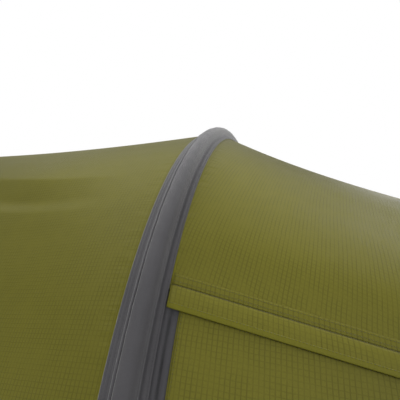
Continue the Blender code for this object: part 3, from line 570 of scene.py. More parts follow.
def through(path, size=0.003):
    """A smooth line through a path of points. It also gives, for each new point, where it is on the path."""
    path = np.asarray(path, float)
    padded = np.concatenate([2 * path[:1] - path[1:2], path, 2 * path[-1:] - path[-2:-1]])
    points, places = [], []
    for k in range(len(path) - 1):
        a, b, c, d = padded[k : k + 4]
        step = np.linalg.norm(c - b)
        pull = 0.5 * min(1.0, step / max(np.linalg.norm(b - a), np.linalg.norm(d - c)))
        t = np.linspace(0, 1, max(2, math.ceil(step / size)), endpoint=False)
        square, cube = t**2, t**3
        weights = [2 * cube - 3 * square + 1, cube - 2 * square + t, 3 * square - 2 * cube, cube - square]
        points.append(np.stack(weights, -1) @ np.array([b, (c - a) * pull, c, (d - b) * pull]))
        places.append(k + t)
    return np.concatenate([*points, path[-1:]]), np.concatenate([*places, [len(path) - 1.0]])


def places_on(line, reach, places):
    """Points on a line, at lengths run along it."""
    return np.stack([np.interp(places, reach, line[:, k]) for k in range(3)], -1)


def repeated(name, points, faces, material, body, slot):
    """One piece of many small equal solids: a row of points for each, and the faces between them."""
    count = points.shape[1]
    every = [[k * count + corner for corner in face] for k in range(len(points)) for face in faces]
    mesh = bpy.data.meshes.new(name)
    mesh.from_pydata(points.reshape(-1, 3).tolist(), [], every)
    made = add_piece(name, mesh, material)
    settle(made, body, slot)
    return made


def stitch(
    name, lines, thread=OLIVE_THREAD, body="tent", slot="fly", pitch=0.0045, long=0.0034, thick=0.00035
):
    """Sewing: short stitches of thread along each line of points, a pitch apart."""
    stitches = []
    turns = (np.arange(3) * math.tau / 3)[:, None]
    for line in lines:
        reach = running(line)
        starts = np.arange(pitch * 0.3, reach[-1] - long, pitch)
        near, far = (places_on(line, reach, places)[:, None] for places in (starts, starts + long))
        along = unit(far - near)
        side = unit(np.cross(along, ASLANT))
        ring = (side * np.cos(turns) + np.cross(side, along) * np.sin(turns)) * thick
        waists = [near + (far - near) * share + ring for share in (0.2, 0.8)]
        stitches.append(np.concatenate([near, *waists, far], 1))
    repeated(name, np.concatenate(stitches), STITCH_FACES, thread, body, slot).data.shade_smooth()


def round_edges(piece, width, segments, degrees=None):
    bevel = piece.modifiers.new("Rounded", "BEVEL")
    bevel.width = width
    bevel.segments = segments
    if degrees:
        bevel.limit_method = "ANGLE"
        bevel.angle_limit = math.radians(degrees)


# Fly panels

ARC_STEP = 0.022
MAIN_ARC_STEPS = ((0.76, 0.026), (1.18, 0.0034), (math.pi / 2, 0.022))
PANEL_STEP, END_STEP = 0.022, 0.018
FLY_INSIDE = FLY_OUT - CLOTH
PORCH_LEAN = 0.17
FOLD_SLOPES = (
    (0.280, 0.0), (0.330, 0.03), (0.425, 0.05), (0.432, 0.0), (0.438, -0.39), (0.488, -0.38), (0.500, -0.12),
    (0.508, 0.12), (0.522, 0.12), (0.533, -0.18), (0.575, -0.16), (0.630, -0.06), (0.700, 0.0),
)
FAR_SIDE_FOLDS = 0.45


def arch_angles(*extra):
    return spaced(sorted({HEM_ANGLE, math.pi - HEM_ANGLE, *extra}), ARC_STEP)


def main_angles():
    """Angles round the main panel, close together where its folds are."""
    half = np.array([HEM_ANGLE])
    for last, size in MAIN_ARC_STEPS:
        half = np.concatenate([half, spaced([half[-1], last], size)[1:]])
    return np.concatenate([half, math.pi - half[-2::-1]])


def ridge_folds(points, share):
    """Long folds that a tight bay has parallel to its ridge: they fade towards the main hoop.

    FOLD_SLOPES gives the cloth's tilt at distances down from the ridge. Below them it comes back to the hem.
    """
    around = running(points, 1)
    down = around[:, [points.shape[1] // 2]] - around
    reach, slope = np.array(FOLD_SLOPES).T
    step, first, last = 0.001, reach[0], reach[-1]
    dense = np.arange(first, last, step)
    height = np.cumsum(np.interp(dense, reach, slope)) * step
    hem = np.linspace(last, float(down.max()), 20)
    dense = np.concatenate([dense, hem])
    height = np.concatenate([height, height[-1] * (1 - smooth((hem - last) / (hem[-1] - last)))])
    wander = np.where(down > 0, 0.09 * (np.minimum(share, 0.6) - 0.4) + 0.002 * np.sin(share * 17), 0.02)
    lift = np.interp(np.abs(down) + wander, dense, height, left=0.0)
    fade = smooth((share - 0.05) / 0.30) * smooth((1.0 - share) / 0.25)
    return lift * np.where(down > 0, 1.0, FAR_SIDE_FOLDS) * fade


def seam_pull(shares, angles):
    """The porch panel bulges a little in a band above the door's seam, which draws it in."""
    above = (angles[None, :] - ZIP_ANGLE) * ARC_PER_ANGLE + 0.02 * (shares[:, None] - 0.15)
    dense = np.linspace(0, 0.45, 226)
    slope = 0.09 * smooth((dense - 0.022) / 0.02) * smooth((0.100 - dense) / 0.02)
    slope = slope - 0.030 * smooth((dense - 0.100) / 0.02)
    height = np.maximum(np.cumsum(slope) * (dense[1] - dense[0]), 0)
    fade = smooth((shares - 0.02) / 0.05) * smooth((0.98 - shares) / 0.35)
    return np.interp(above, dense, height, left=0.0) * fade[:, None]


def corner_pull(points):
    """Tension folds that fan out over an end panel from the peg loops at its two lower corners."""
    steepness, folds = 0.011, 15.0
    out = running(points)
    out = out[-1:] - out
    up = running(points, 1)
    up = np.minimum(up, up[:, -1:] - up)
    far = np.hypot(out, up)
    fan = np.cos(np.arctan2(up, out) * folds + 1.3 * np.sin(far * 9.0))
    near_seams = smooth((up - 0.02) / 0.05) * smooth((out - 0.01) / 0.05)
    return steepness * far * fan * near_seams * smooth((far - 0.07) / 0.12) * smooth((0.75 - far) / 0.45)


def round_opening(shares, angles, left, right, low, high):
    """Which squares of a grid stay round an opening."""
    rows, columns = (
        (values[:-1] > first - TINY) & (values[1:] < last + TINY)
        for values, first, last in ((shares, left, right), (angles, low, high))
    )
    return ~(rows[:, None] & columns[None, :])


def fly_panel(label, points, node, *sleeves, **laid):
    rests_on = [f"{sleeve}_sleeve" for sleeve in sleeves]
    sew(f"fly_{label}_panel", points, FLY, rests_on, node, sewn=HEMS + SLEEVES, under=SLEEVE_HALF, **laid)


def build_main_panel():
    bay, angles = MAIN_BAY, main_angles()
    shares = bay.spaced([bay.gap, bay.sleeve, 1 - bay.sleeve, 1 - bay.gap], PANEL_STEP)
    lift = ridge_folds(bay.grid(shares, angles, 0.0), shares[:, None])
    fly_panel("main", bay.grid(shares, angles, FLY_INSIDE + lift), "main_canopy", "main", "rear")


def build_end_panels():
    ends = (
        ("rear", TAIL_BAY, "rear_canopy", (VENT_NEAR, VENT_FAR), VENT_ANGLES),
        ("front", NOSE_BAY, "front_wall", (), ()),
    )
    for label, bay, node, vent_shares, vent_angles in ends:
        shares = bay.spaced([bay.gap, bay.sleeve, *vent_shares, 1.0], END_STEP)
        angles = arch_angles(*vent_angles)
        keep = round_opening(shares, angles, *vent_shares, *vent_angles) if vent_shares else None
        lift = corner_pull(bay.grid(shares, angles, 0.0))
        fly_panel(label, bay.grid(shares, angles, FLY_INSIDE + lift), node, label, keep=keep)


def build_porch_panel():
    bay = PORCH_BAY
    left, right, top = door_outline(0)
    shares, angles = bay.spaced([bay.gap, left, right, 1 - bay.gap], PANEL_STEP), arch_angles(top)
    points = bay.grid(shares, angles, FLY_INSIDE + seam_pull(shares, angles))
    around, along = running(points, 1), running(points)
    lean = PORCH_LEAN * np.minimum(around, around[:, -1:] - around)
    lengths = np.stack([around - around[:, [len(angles) // 2]], along - lean], -1)
    keep = round_opening(shares, angles, left, right, HEM_ANGLE, top)
    fly_panel("porch", points, "porch_canopy", "main", "front", keep=keep, lengths=lengths)


def build_fly():
    build_main_panel()
    build_end_panels()
    build_porch_panel()


# Storm flap: profiles are pairs of a drop below the zip's line and a lift off the cloth

FLAP = (
    (0.0, 0.0030), (0.004, 0.0046), (0.009, 0.0056), (0.016, 0.0062), (0.024, 0.0062), (0.029, 0.0060),
    (0.0325, 0.0057), (FLAP_WIDE, 0.0052),
)
SEAM_FOLD = ((-0.018, 0.0016), (-0.0165, 0.0020), (-0.010, 0.0019), (-0.004, 0.0017), (-0.0012, 0.0017))
FLAP_HEM = ((0.0258, 0.0069), (0.0275, 0.0071), (0.0325, 0.0066), (0.0342, 0.0058))


def below_zip(shares, profile):
    """Grid of points: a row for each share, and a column for each pair of the profile."""
    drop, lift = np.array(profile).T
    return PORCH_BAY.lifted(shares[:, None], ZIP_ANGLE - drop / ARC_PER_ANGLE, lift)


def build_flap():
    left, right = (SLEEVE_AHEAD + 0.001) / PORCH_BAY.length, door_outline(-0.006)[1]
    shares = PORCH_BAY.spaced([left, right], 0.010)

    def strip(name, profile, material, rests_on, node=None, **laid):
        sew(name, below_zip(shares, profile), material, [rests_on], node, **laid)

    def seam(name, *profile, **thread):
        stitch(name, np.swapaxes(below_zip(shares, profile), 0, 1), **thread)

    flap = {"body": "storm_flap"}
    strip("storm_flap_cloth", FLAP, FLY, "porch_canopy", "door_storm_flap", held="hung", sewn=HEMS, **flap)
    strip("porch_seam_fold", SEAM_FOLD, FLY, "porch_canopy", sewn=HEMS)
    seam("porch_seam_stitching", (-0.0145, 0.0028), (-0.0065, 0.0026))
    seam("storm_flap_seam", (-0.0004, 0.0026), thread=THREAD, pitch=0.0032, long=0.0026, thick=0.0006, **flap)
    strip("storm_flap_hem", FLAP_HEM, HEM_TAPE_AND_HIGHLIGHT, "door_storm_flap", held="folded", thick=0.0004, **flap)
    seam("storm_flap_stitching", (0.0268, 0.0077), **flap)


# Hems, door and zip

SIDES = (("near", -1), ("far", 1))
HEM_WIDE, HEM_LIFT = 0.013, 0.0005
TO_PEG = 0.995
ZIP_LIFT, TAPE_LIFT, SEAM_LIFT = -0.0012, -0.0016, FLY_OUT + 0.0004
TOOTH_PITCH, ZIP_END = 0.0026, 0.002


def hem_strip(name, bay, first, last, side=-1, body="tent"):
    """Folded hem along the foot of a bay. Returns the line that it is sewn along."""
    angles = np.linspace(HEM_ANGLE, HEM_ANGLE + HEM_WIDE / ARC_PER_ANGLE, 5)
    if side > 0:
        angles = math.pi - angles
    lift = FLY_OUT + HEM_LIFT * np.array([0.6, 1.0, 1.0, 1.0, 0.3])
    shares = bay.spaced([first, last], 0.03)
    points = bay.grid(shares, angles, lift)
    sew(name, points, HEM_TAPE_AND_HIGHLIGHT, ["groundsheet"], body=body, held="folded", thick=0.0004)
    return bay.lifted(shares, angles[3], FLY_OUT + HEM_LIFT + 0.0005)


def build_hems():
    near, far = SIDES
    beside_door = door_outline(0)[1] + 0.004
    spans = (
        ("main", MAIN_BAY, MAIN_BAY.sleeve, 1 - MAIN_BAY.sleeve, SIDES),
        ("tail", TAIL_BAY, TAIL_BAY.sleeve, TO_PEG, SIDES),
        ("nose", NOSE_BAY, NOSE_BAY.sleeve, TO_PEG, SIDES),
        ("porch", PORCH_BAY, PORCH_BAY.sleeve, 1 - PORCH_BAY.sleeve, [far]),
        ("porch_front", PORCH_BAY, beside_door, 1 - PORCH_BAY.sleeve, [near]),
    )
    lines = []
    for label, bay, first, last, sides in spans:
        for name, side in sides:
            lines.append(hem_strip(f"{label}_hem_{name}", bay, first, last, side))
    stitch("hem_stitching", lines)
    left, right, _ = door_outline(2 * TAPE_WIDE)
    line = hem_strip("door_hem", PORCH_BAY, left, right, body="porch_door")
    stitch("door_hem_stitching", [line], body="porch_door")


def band_points(outer, inner):
    """Grid, and which squares of it stay, of a band along the rear side, top and front side of the door."""
    left, right, top = door_outline(outer)
    left_in, right_in, top_in = door_outline(inner)
    shares = PORCH_BAY.spaced([left, left_in, right_in, right], 0.012)
    angles = spaced([HEM_ANGLE, top_in, top], 0.014)
    keep = round_opening(shares, angles, left_in, right_in, HEM_ANGLE, top_in)
    return PORCH_BAY.grid(shares, angles, TAPE_LIFT), keep


def zip_path(inset, lift, size=0.004):
    """Points along the zip, from the hem up the rear side, along the top and down the front side."""
    left, right, top = door_outline(inset)
    side = spaced([HEM_ANGLE, top], size / ARC_PER_ANGLE)
    up = [(left, angle) for angle in side]
    across = [(share, top) for share in PORCH_BAY.spaced([left, right], size)[1:-1]]
    down = [(right, angle) for angle in side[::-1]]
    path = np.array(up + across + down)
    return PORCH_BAY.lifted(path[:, 0], path[:, 1], lift)


def zip_teeth(name, side, body):
    """One row of the zip's coil: moulded turns that stand across the gap between the tapes."""
    middle, above = zip_path(TAPE_WIDE, ZIP_LIFT), zip_path(TAPE_WIDE, ZIP_LIFT + 0.001)
    reach = running(middle)
    offset = TOOTH_PITCH / 2 if side > 0 else 0.0
    starts = np.arange(ZIP_END + offset, reach[-1] - ZIP_END, TOOTH_PITCH)
    here = places_on(middle, reach, starts)
    out = unit(places_on(above, reach, starts) - here)
    along = unit(places_on(middle, reach, starts + 0.0004) - here)
    towards = np.cross(along, out) * side
    corners = []
    for reach_in, half_long, half_thick in ((-0.0006, 0.0006, 0.0007), (0.0022, 0.0009, 0.0009)):
        for across, up in ((-1, -1), (1, -1), (1, 1), (-1, 1)):
            corners.append(here + towards * reach_in + along * across * half_long + out * up * half_thick)
    coil = repeated(name, np.stack(corners, 1), BOX_FACES, ZIP_PLASTIC, body, "zip_tape")
    round_edges(coil, 0.00025, 1)


def door_creases(shares, angles, left, right, top):
    """How far the door's cloth stands in from a flat panel: a soft belly and folds from its upper corners."""
    u = ((shares - left) / (right - left))[:, None]
    v = ((angles - HEM_ANGLE) / (top - HEM_ANGLE))[None, :]
    edge = smooth(np.minimum(u, 1 - u) / 0.12) * smooth(np.minimum(v + 0.15, 1 - v) / 0.12)
    belly = -0.0045 * np.sin(math.pi * u) * np.sin(math.pi * (0.15 + 0.8 * v))
    rear_fan = 0.0011 * np.sin(14 * (u * 0.9 + v * 0.5)) * (1 - u)
    front_fan = 0.0009 * np.sin(17 * ((1 - u) + v * 0.4)) * u
    return (belly + rear_fan + front_fan) * edge


def zip_tape(label, outer, inner, body):
    """A tape sewn along three sides of the door, given by its whole length and its width."""
    points, keep = band_points(outer, inner)
    tape = lay_cloth(f"zip_tape_{label}", points, TAPE, keep=keep, thick=0.0011)
    settle(tape, body, "zip_tape", f"door_zip_{label}_tape")


def build_door():
    left, right, top = door_outline(2 * TAPE_WIDE)
    shares = PORCH_BAY.spaced([left, right], 0.006)
    angles = spaced([HEM_ANGLE, top], 0.0065)
    points = PORCH_BAY.grid(shares, angles, FLY_INSIDE + door_creases(shares, angles, left, right, top))
    door = {"body": "porch_door"}
    sewn = (*SLEEVES, "last_column")
    sew("porch_door_cloth", points, FLY, ["porch_canopy"], "porch_door", sewn=sewn, **door)
    zip_tape("fixed", -TAPE_LAP, TAPE_WIDE - ZIP_GAP / 2, "tent")
    zip_tape("door", TAPE_WIDE + ZIP_GAP / 2, 2 * TAPE_WIDE + TAPE_LAP, "porch_door")
    zip_teeth("zip_coil_fixed", -1, "tent")
    zip_teeth("zip_coil_door", 1, "porch_door")
    stitch("door_frame_stitching", [zip_path(-0.0015, SEAM_LIFT)])
    lines = [zip_path(2 * TAPE_WIDE + past, SEAM_LIFT) for past in (0.0015, 0.0045)]
    stitch("door_edge_stitching", lines, **door)


# Sleeves: flanges are pairs of a distance from the hoop and a lift, and the tunnel of places off the hoop

SLEEVE_LIFT = FLY_OUT + 0.0010
TUNNEL_STITCH = (-0.0049, 0.0142)
REAR_FLANGE = (
    (0.0300, 0.0), (0.0285, 0.0003), (0.0262, -0.0005), (0.0240, 0.0003), (0.0222, 0.0003), (0.0200, -0.0005),
    (0.0180, 0.0004), (0.0150, 0.0006), (0.0125, 0.0006), (0.0108, 0.0002), (0.0100, -0.0006),
)
FRONT_FLANGE = (
    (SLEEVE_AHEAD, 0.0), (0.0338, 0.0003), (0.0322, -0.0004), (0.0305, 0.0004), (0.0275, 0.0003),
    (0.0250, 0.0002), (0.0238, -0.0004),
)
TUNNEL = (
    (-0.0100, 0.0022), (-0.0106, 0.0060), (-0.0104, 0.0095), (-0.0096, 0.0122), (-0.0080, 0.0139),
    (-0.0064, 0.0142), (-0.0050, 0.0132), (-0.0038, 0.0142), (-0.0018, 0.0166), (0.0025, 0.0178),
    (0.0080, 0.0182), (0.0130, 0.0176), (0.0170, 0.0154), (0.0198, 0.0120), (0.0214, 0.0080),
    (0.0222, 0.0048), (0.0230, 0.0022),
)


def sleeve_points(behind, ahead, hoop, angle):
    """Grid of a sleeve's inner face: rows across it, from -X to +X, and one column for each angle."""

    def flange(bay, pairs):
        return [bay.beside(hoop, distance, angle, SLEEVE_LIFT + lift) for distance, lift in pairs]

    rows = flange(behind, REAR_FLANGE)
    profile, _ = through(TUNNEL, 0.0013)
    slump = 0.0004 * np.sin(angle * 19 + 1.3) * np.sin(angle * 7)
    for across, rise in profile:
        high = max(0.0, (rise - 0.004) / 0.015)
        ripple = 0.00035 * np.sin(angle * 61 + across * 180) + 0.0003 * np.sin(angle * 143 + across * 90)
        rows.append(hoop.beside(angle, across, rise + (ripple + slump) * high))
    return np.stack(rows + flange(ahead, FRONT_FLANGE[::-1]))


def build_sleeves():
    for label, hoop, behind, ahead in JOINS:
        low = arch_angle(SLEEVE_END_HIGH, hoop.high)
        angle = spaced([low, math.pi - low], 0.012)
        points = sleeve_points(behind, ahead, hoop, angle)
        canopy = "porch_canopy" if label == "front" else f"{label}_canopy"
        sew(f"{label}_sleeve_cloth", points, SLEEVE, [canopy], f"{label}_sleeve", slot="sleeve", sewn=SLEEVES)
        rows = ((behind, 0.0262), (behind, 0.0200), (ahead, 0.0322))
        lines = [bay.beside(hoop, distance, angle, SLEEVE_LIFT + CLOTH - 0.0004) for bay, distance in rows]
        stitch(f"{label}_sleeve_stitching", lines, THREAD, slot="sleeve")
        # Tunnel seam: real stitching, sewn almost without gaps in near-black thread that paints the crease's
        # shade.
        line = hoop.beside(angle, *TUNNEL_STITCH)
        stitch(f"{label}_tunnel_seam_and_crease_shade", [line], CREASE_SHADE_THREAD, "tent", "sleeve", 0.0034, 0.0031, 0.0007)


def build_seam_edges():
    """Folded edge of each panel, which shows as a narrow band beside the sleeve: it stands a little proud,
    and its lighter olive is a painted highlight.
    """
    band = ((-0.0015, 0.0002), (0.0005, 0.0004), (0.0022, 0.0005), (0.0036, 0.0))
    folded = {"held": "folded", "thick": 0.0003}
    for label, hoop, behind, ahead in JOINS:
        low = arch_angle(SLEEVE_END_HIGH, hoop.high)
        for side, bay, edge in (("rear", behind, SLEEVE_HALF), ("front", ahead, SLEEVE_AHEAD)):
            above_flap = label == "main" and side == "front"
            angle = spaced([ZIP_ANGLE + 0.004 if above_flap else low, math.pi - low], 0.014)
            points = np.stack([bay.beside(hoop, edge + past, angle, FLY_OUT + lift) for past, lift in band])
            sew(f"seam_edge_{label}_{side}", points, HEM_TAPE_AND_HIGHLIGHT, [f"{label}_sleeve"], **folded)


# Inner tent

FLOOR_FRONT, FLOOR_FOOT = 0.57, -1.53
FLOOR_HALF, FOOT_FLOOR_HALF = 0.610, 0.395
TUB_HIGH = 0.10
INNER_HALF, INNER_HIGH = 0.655, 0.965
FOOT_HALF, FOOT_HIGH = 0.430, 0.200
INNER_LEAN = math.radians(4)
INNER_GAP = 0.0004
INNER_FRONT, INNER_FOOT = FLOOR_FRONT - 0.004, FLOOR_FOOT + 0.004
DOOR_HALF, DOOR_LOW, DOOR_HIGH = 0.40, 0.030, 0.72
DOOR_CENTRE = np.array([0.0, 0.36])
FRONT_WALL_HIGH = 0.88
FLOOR_CUT = (2.3, 1.42)


def inner_wall(x, angle):
    past = np.clip((X_REAR - x) / (X_REAR - FLOOR_FOOT), 0.0, 1.0)
    half, high = INNER_HALF + (FOOT_HALF - INNER_HALF) * past, INNER_HIGH + (FOOT_HIGH - INNER_HIGH) * past
    return arch(half, high - TUB_HIGH, angle)


def inner_door_outline(inset=0.0):
    """Outline of the inner door, as (y, up), from its lower right corner round to its lower left one."""
    half, low = DOOR_HALF - inset, DOOR_LOW + inset
    shoulder = DOOR_HIGH - inset - half
    side = np.linspace(low, shoulder, 16)
    right = [(half, up) for up in side[:-1]]
    turns = np.linspace(0, math.pi, 48)
    top = [(half * math.cos(turn), shoulder + half * math.sin(turn)) for turn in turns]
    left = [(-half, up) for up in side[::-1][1:]]
    foot = [(y, low) for y in np.linspace(-half, half, 24)[1:]]
    return np.array(right + top + left + foot)


def wall_towards(centre, direction, wall):
    """Where a ray from the centre meets a closed outline."""
    edge = np.roll(wall, -1, axis=0) - wall
    gap = wall - centre
    bend = direction[0] * edge[:, 1] - direction[1] * edge[:, 0]
    bend[np.abs(bend) < 1e-12] = np.nan
    reach = (gap[:, 0] * edge[:, 1] - gap[:, 1] * edge[:, 0]) / bend
    share = (gap[:, 0] * direction[1] - gap[:, 1] * direction[0]) / bend
    met = (reach > 0) & (share >= -TINY) & (share <= 1 + TINY)
    return centre + direction * reach[met].min()


def on_front(flat, out):
    """Rings of points on the leaning plane of the inner tent's front, as (y, up), an amount out of it."""
    y, up = flat[..., 0], flat[..., 1]
    x = FLOOR_FRONT - math.sin(INNER_LEAN) * up + math.cos(INNER_LEAN) * out
    z = TUB_HIGH + INNER_GAP + math.cos(INNER_LEAN) * up + math.sin(INNER_LEAN) * out
    return np.stack([x, y, z], -1)


def closed(flat):
    """Rings of points, with the first point of each one again at its end."""
    return np.concatenate([flat, flat[:, :1]], 1)


def steps(first, last, count):
    return np.linspace(first, last, count)[:, None, None]


def build_inner_canopy():
    x = spaced([INNER_FRONT, X_REAR, INNER_FOOT], 0.05)[:, None]
    angle = np.linspace(0, math.pi, 97)
    y, up = inner_wall(x, angle)
    run = (INNER_FRONT - x) / (INNER_FRONT - INNER_FOOT)
    slack = 0.004 * np.sin(run * math.pi * 3) ** 2 * np.sin(angle) ** 0.5
    creases = 0.0016 * np.sin(angle * 23 + run * 9) * np.sin(run * math.pi)
    shrink = 1 - (slack + creases * 0.5 + 0.001) / 0.6
    back = math.tan(INNER_LEAN) * up * (1 - smooth((INNER_FRONT - x) / 0.30))
    points = np.stack([x - back, y * shrink, TUB_HIGH + INNER_GAP + up * shrink], -1)
    hangers = ["inner_hanger_front", "inner_hanger_rear"]
    canopy = {"held": "hung", "sewn": ("first_row", *HEMS)}
    sew("inner_tent_canopy", points, INNER, hangers, "inner_canopy", slot="inner_cloth", **canopy)

    middle = np.array([INNER_FOOT, 0, TUB_HIGH + INNER_GAP])
    end = middle + (points[-1] - middle) * steps(1.0, 0.0, 7)
    end[..., 0] -= 0.0006
    foot = {"cut": (2 * FOOT_HALF, FOOT_HIGH), "sewn": ("first_row",), "middle": (0, 0, 0.15)}
    sew("inner_tent_foot", end, INNER, ["groundsheet"], slot="inner_cloth", **foot)


def front_sheet(name, flat, out, material, rests_on, node=None, **laid):
    sew(name, on_front(flat, out), material, [rests_on], node, middle=(0, 0, 0.3), **laid)


def build_inner_front():
    door = inner_door_outline()
    wall_y, wall_up = inner_wall(np.array(INNER_FRONT), np.linspace(0, math.pi, 181))
    wall = np.stack([wall_y, wall_up / math.cos(INNER_LEAN)], -1)[::-1]
    base = [(y, 0.0) for y in np.linspace(-INNER_HALF, INNER_HALF, 41)[1:-1]]
    wall = np.concatenate([wall, base])
    outer = np.array([wall_towards(DOOR_CENTRE, towards, wall) for towards in unit(door - DOOR_CENTRE)])
    share = steps(0, 1, 7)
    flat = closed(door * (1 - share) + outer * share)
    ripple = 0.0006 * np.sin(flat[..., 0] * 40) * np.sin(math.pi * share[..., 0])
    wall = {"slot": "inner_cloth", "cut": (2 * INNER_HALF, FRONT_WALL_HIGH), "sewn": SLEEVES}
    front_sheet("inner_tent_front", flat, 0.0003 + ripple, INNER, "inner_canopy", "inner_front_wall", **wall)


def build_inner_door():
    door, opening = inner_door_outline(0.003), inner_door_outline()
    share = steps(1.0, 0.0, 13)
    flat = closed(DOOR_CENTRE + (door - DOOR_CENTRE) * share)
    belly = -0.003 * (1 - share[..., 0]) * np.cos(flat[..., 0] * 2)
    wall, thin = "inner_front_wall", {"thick": 0.0004}
    moving = {"body": "inner_door", "slot": "net", **thin}
    net = {"held": "hung", "cut": (2 * DOOR_HALF, DOOR_HIGH), "lengths": flat, **moving}
    front_sheet("inner_door_net", flat, 0.0004 + belly, NET, wall, "inner_door", **net)

    trim = steps(0.0, 0.011, 3)
    edging = closed(door + unit(DOOR_CENTRE - door) * trim)
    front_sheet("inner_door_edging", edging, 0.0008, TAPE, wall, **moving)
    tape = closed(opening + unit(opening - DOOR_CENTRE) * (trim + 0.0008))
    front_sheet("inner_door_frame_tape", tape, 0.0012, TAPE, wall, slot="inner_cloth", **thin)


def build_inner():
    build_inner_canopy()
    build_inner_front()
    build_inner_door()


def floor_outline(half, foot_half, inset=0.0):
    """Plan of the groundsheet, as (x, y), drawn in by a distance."""
    front, foot = FLOOR_FRONT - inset, FLOOR_FOOT + inset
    near = [(front, -half + inset), (X_REAR, -half + inset), (foot, -foot_half + inset)]
    corners = np.array(near + [(x, -y) for x, y in reversed(near)] + near[:1])
    share = np.linspace(0, 1, 24, endpoint=False)[:, None]
    sides = [first + (second - first) * share for first, second in zip(corners, corners[1:])]
    return np.concatenate(sides + [corners[:1]])


def build_floor():
    rows = []
    floor = floor_outline(FLOOR_HALF, FOOT_FLOOR_HALF, 0.004)
    centre = np.array([(FLOOR_FRONT + FLOOR_FOOT) / 2, 0.0])
    for share in np.linspace(0.0, 1.0, 16):
        flat = centre + (floor - centre) * share
        wrinkle = 0.0007 + 0.0006 * np.sin(flat[:, 0] * 31 + np.sin(flat[:, 1] * 17))
        rows.append(np.column_stack([flat, 0.0006 + wrinkle * (share < 0.97)]))
    low, rim = floor_outline(FLOOR_HALF, FOOT_FLOOR_HALF), floor_outline(INNER_HALF, FOOT_HALF)
    for share in (0.0, 0.04, 0.15, 0.35, 0.6, 0.85, 0.97, 1.0):
        flat = low + (rim - low) * share
        high = 0.0012 + 0.0030 * min(1.0, share * 12) + (TUB_HIGH - 0.0042) * share
        rows.append(np.column_stack([flat, np.full(len(flat), high)]))
    tub = {"slot": "groundsheet", "held": "laid", "cut": FLOOR_CUT, "sewn": ("last_row",), "thick": 0.0005}
    sew("bathtub_floor", np.stack(rows), GROUND, ["studio_floor"], "groundsheet", **tub)


# Rear vent

VENT_INSET = 0.0025
HOOD_LIFT = FLY_OUT + 0.004


def build_vent():
    shares = TAIL_BAY.spaced([VENT_NEAR + VENT_INSET, VENT_FAR - VENT_INSET], 0.016)
    angles = spaced([VENT_ANGLES[0] + VENT_INSET, VENT_ANGLES[1] - VENT_INSET], 0.02)
    points = TAIL_BAY.grid(shares, angles, 0.0002)
    sew("rear_vent_netting", points, NET, ["rear_canopy"], "rear_vent_net", slot="net", thick=0.0004)

    first, lip = VENT_NEAR - 0.015, VENT_FAR + 0.02
    wide = spaced([VENT_ANGLES[0] - 0.03, VENT_ANGLES[1] + 0.03], 0.018)
    hinge = TAIL_BAY.lifted(first, math.pi / 2, HOOD_LIFT)
    turn = np.array(Matrix.Rotation(VENT_OPEN, 3, "Y"))

    def opened(shares, height):
        return hinge + (TAIL_BAY.grid(np.array(shares), wide, HOOD_LIFT + height) - hinge) @ turn.T

    hood = {"body": "vent_hood"}
    points = opened(TAIL_BAY.spaced([first, lip], 0.016), 0.0)
    sew("vent_hood_cloth", points, FLY, ["rear_canopy"], "rear_vent_hood", sewn=SLEEVES, thick=0.0008, **hood)
    points = opened([lip - 0.012, lip - 0.006, lip - 0.0005], 0.0009)
    sew("vent_hood_binding", points, SLEEVE, ["rear_vent_hood"], held="folded", thick=0.0005, **hood)
    stitch("vent_hood_stitching", opened([lip - 0.0105, lip - 0.0025], 0.0016), THREAD, **hood)


# Webbing: paths down to a foot are pairs of a distance out from the hoop and a height

WEB_WIDE, WEB_THICK = 0.020, 0.0013
GUY_WIDE, GUY_THICK, GUY_HIGH = 0.016, 0.001, 0.48
HANGER_WIDE = 0.012
ALONG_X, ALONG_Y, UPWARD = np.eye(3)
THROUGH_BUCKLE = (
    (0.0267, 0.0790), (0.0267, 0.0710), (0.0219, 0.0665),
    (0.0219, 0.0595), (0.0267, 0.0550), (0.0267, 0.0470),
)
STRAIGHT_DOWN = ((0.0225, 0.080), (0.0225, 0.055))
TO_FOOT = ((0.0225, 0.038), (0.0262, 0.012), (0.0315, 0.0), (0.045, 0.0), (0.067, 0.0), (0.080, 0.0))
PEG_TAB = ((0.003, 0.028), (0.012, 0.010), (0.020, 0.0), (0.034, 0.0), (0.056, 0.0), (0.068, 0.0))
GUY_LOOP = ((0.0, -0.0035), (0.008, -0.0035), (0.016, -0.0060), (0.022, -0.0050))


def strap(name, path, across, width, node, inside=None, slot=None, thick=WEB_THICK):
    """Webbing along a path, with firm rounded edges. The slot is the stretch with a peg hole in it."""
    line, places = through(path)
    columns = np.array([-1.0, -0.94, -0.5, -0.25, 0.0, 0.25, 0.5, 0.94, 1.0]) * width / 2
    points = line[:, None, :] + across * columns[:, None]
    keep = np.ones((len(line) - 1, len(columns) - 1), bool)
    if slot is not None:
        keep[(places[:-1] > slot - TINY) & (places[1:] < slot + 1 + TINY), 2:6] = False
    held = "hung" if width == HANGER_WIDE else "stretched"
    web = sew(name, points, WEB, [], node, slot="webbing", held=held, keep=keep, thick=thick, middle=inside)
    round_edges(web, thick * 0.35, 2, 50)
    return points


def on_sleeve(hoop, side, height):
    return hoop.beside(hoop.angle_at(height, side), 0.0, TUNNEL_HIGH + 0.0006)


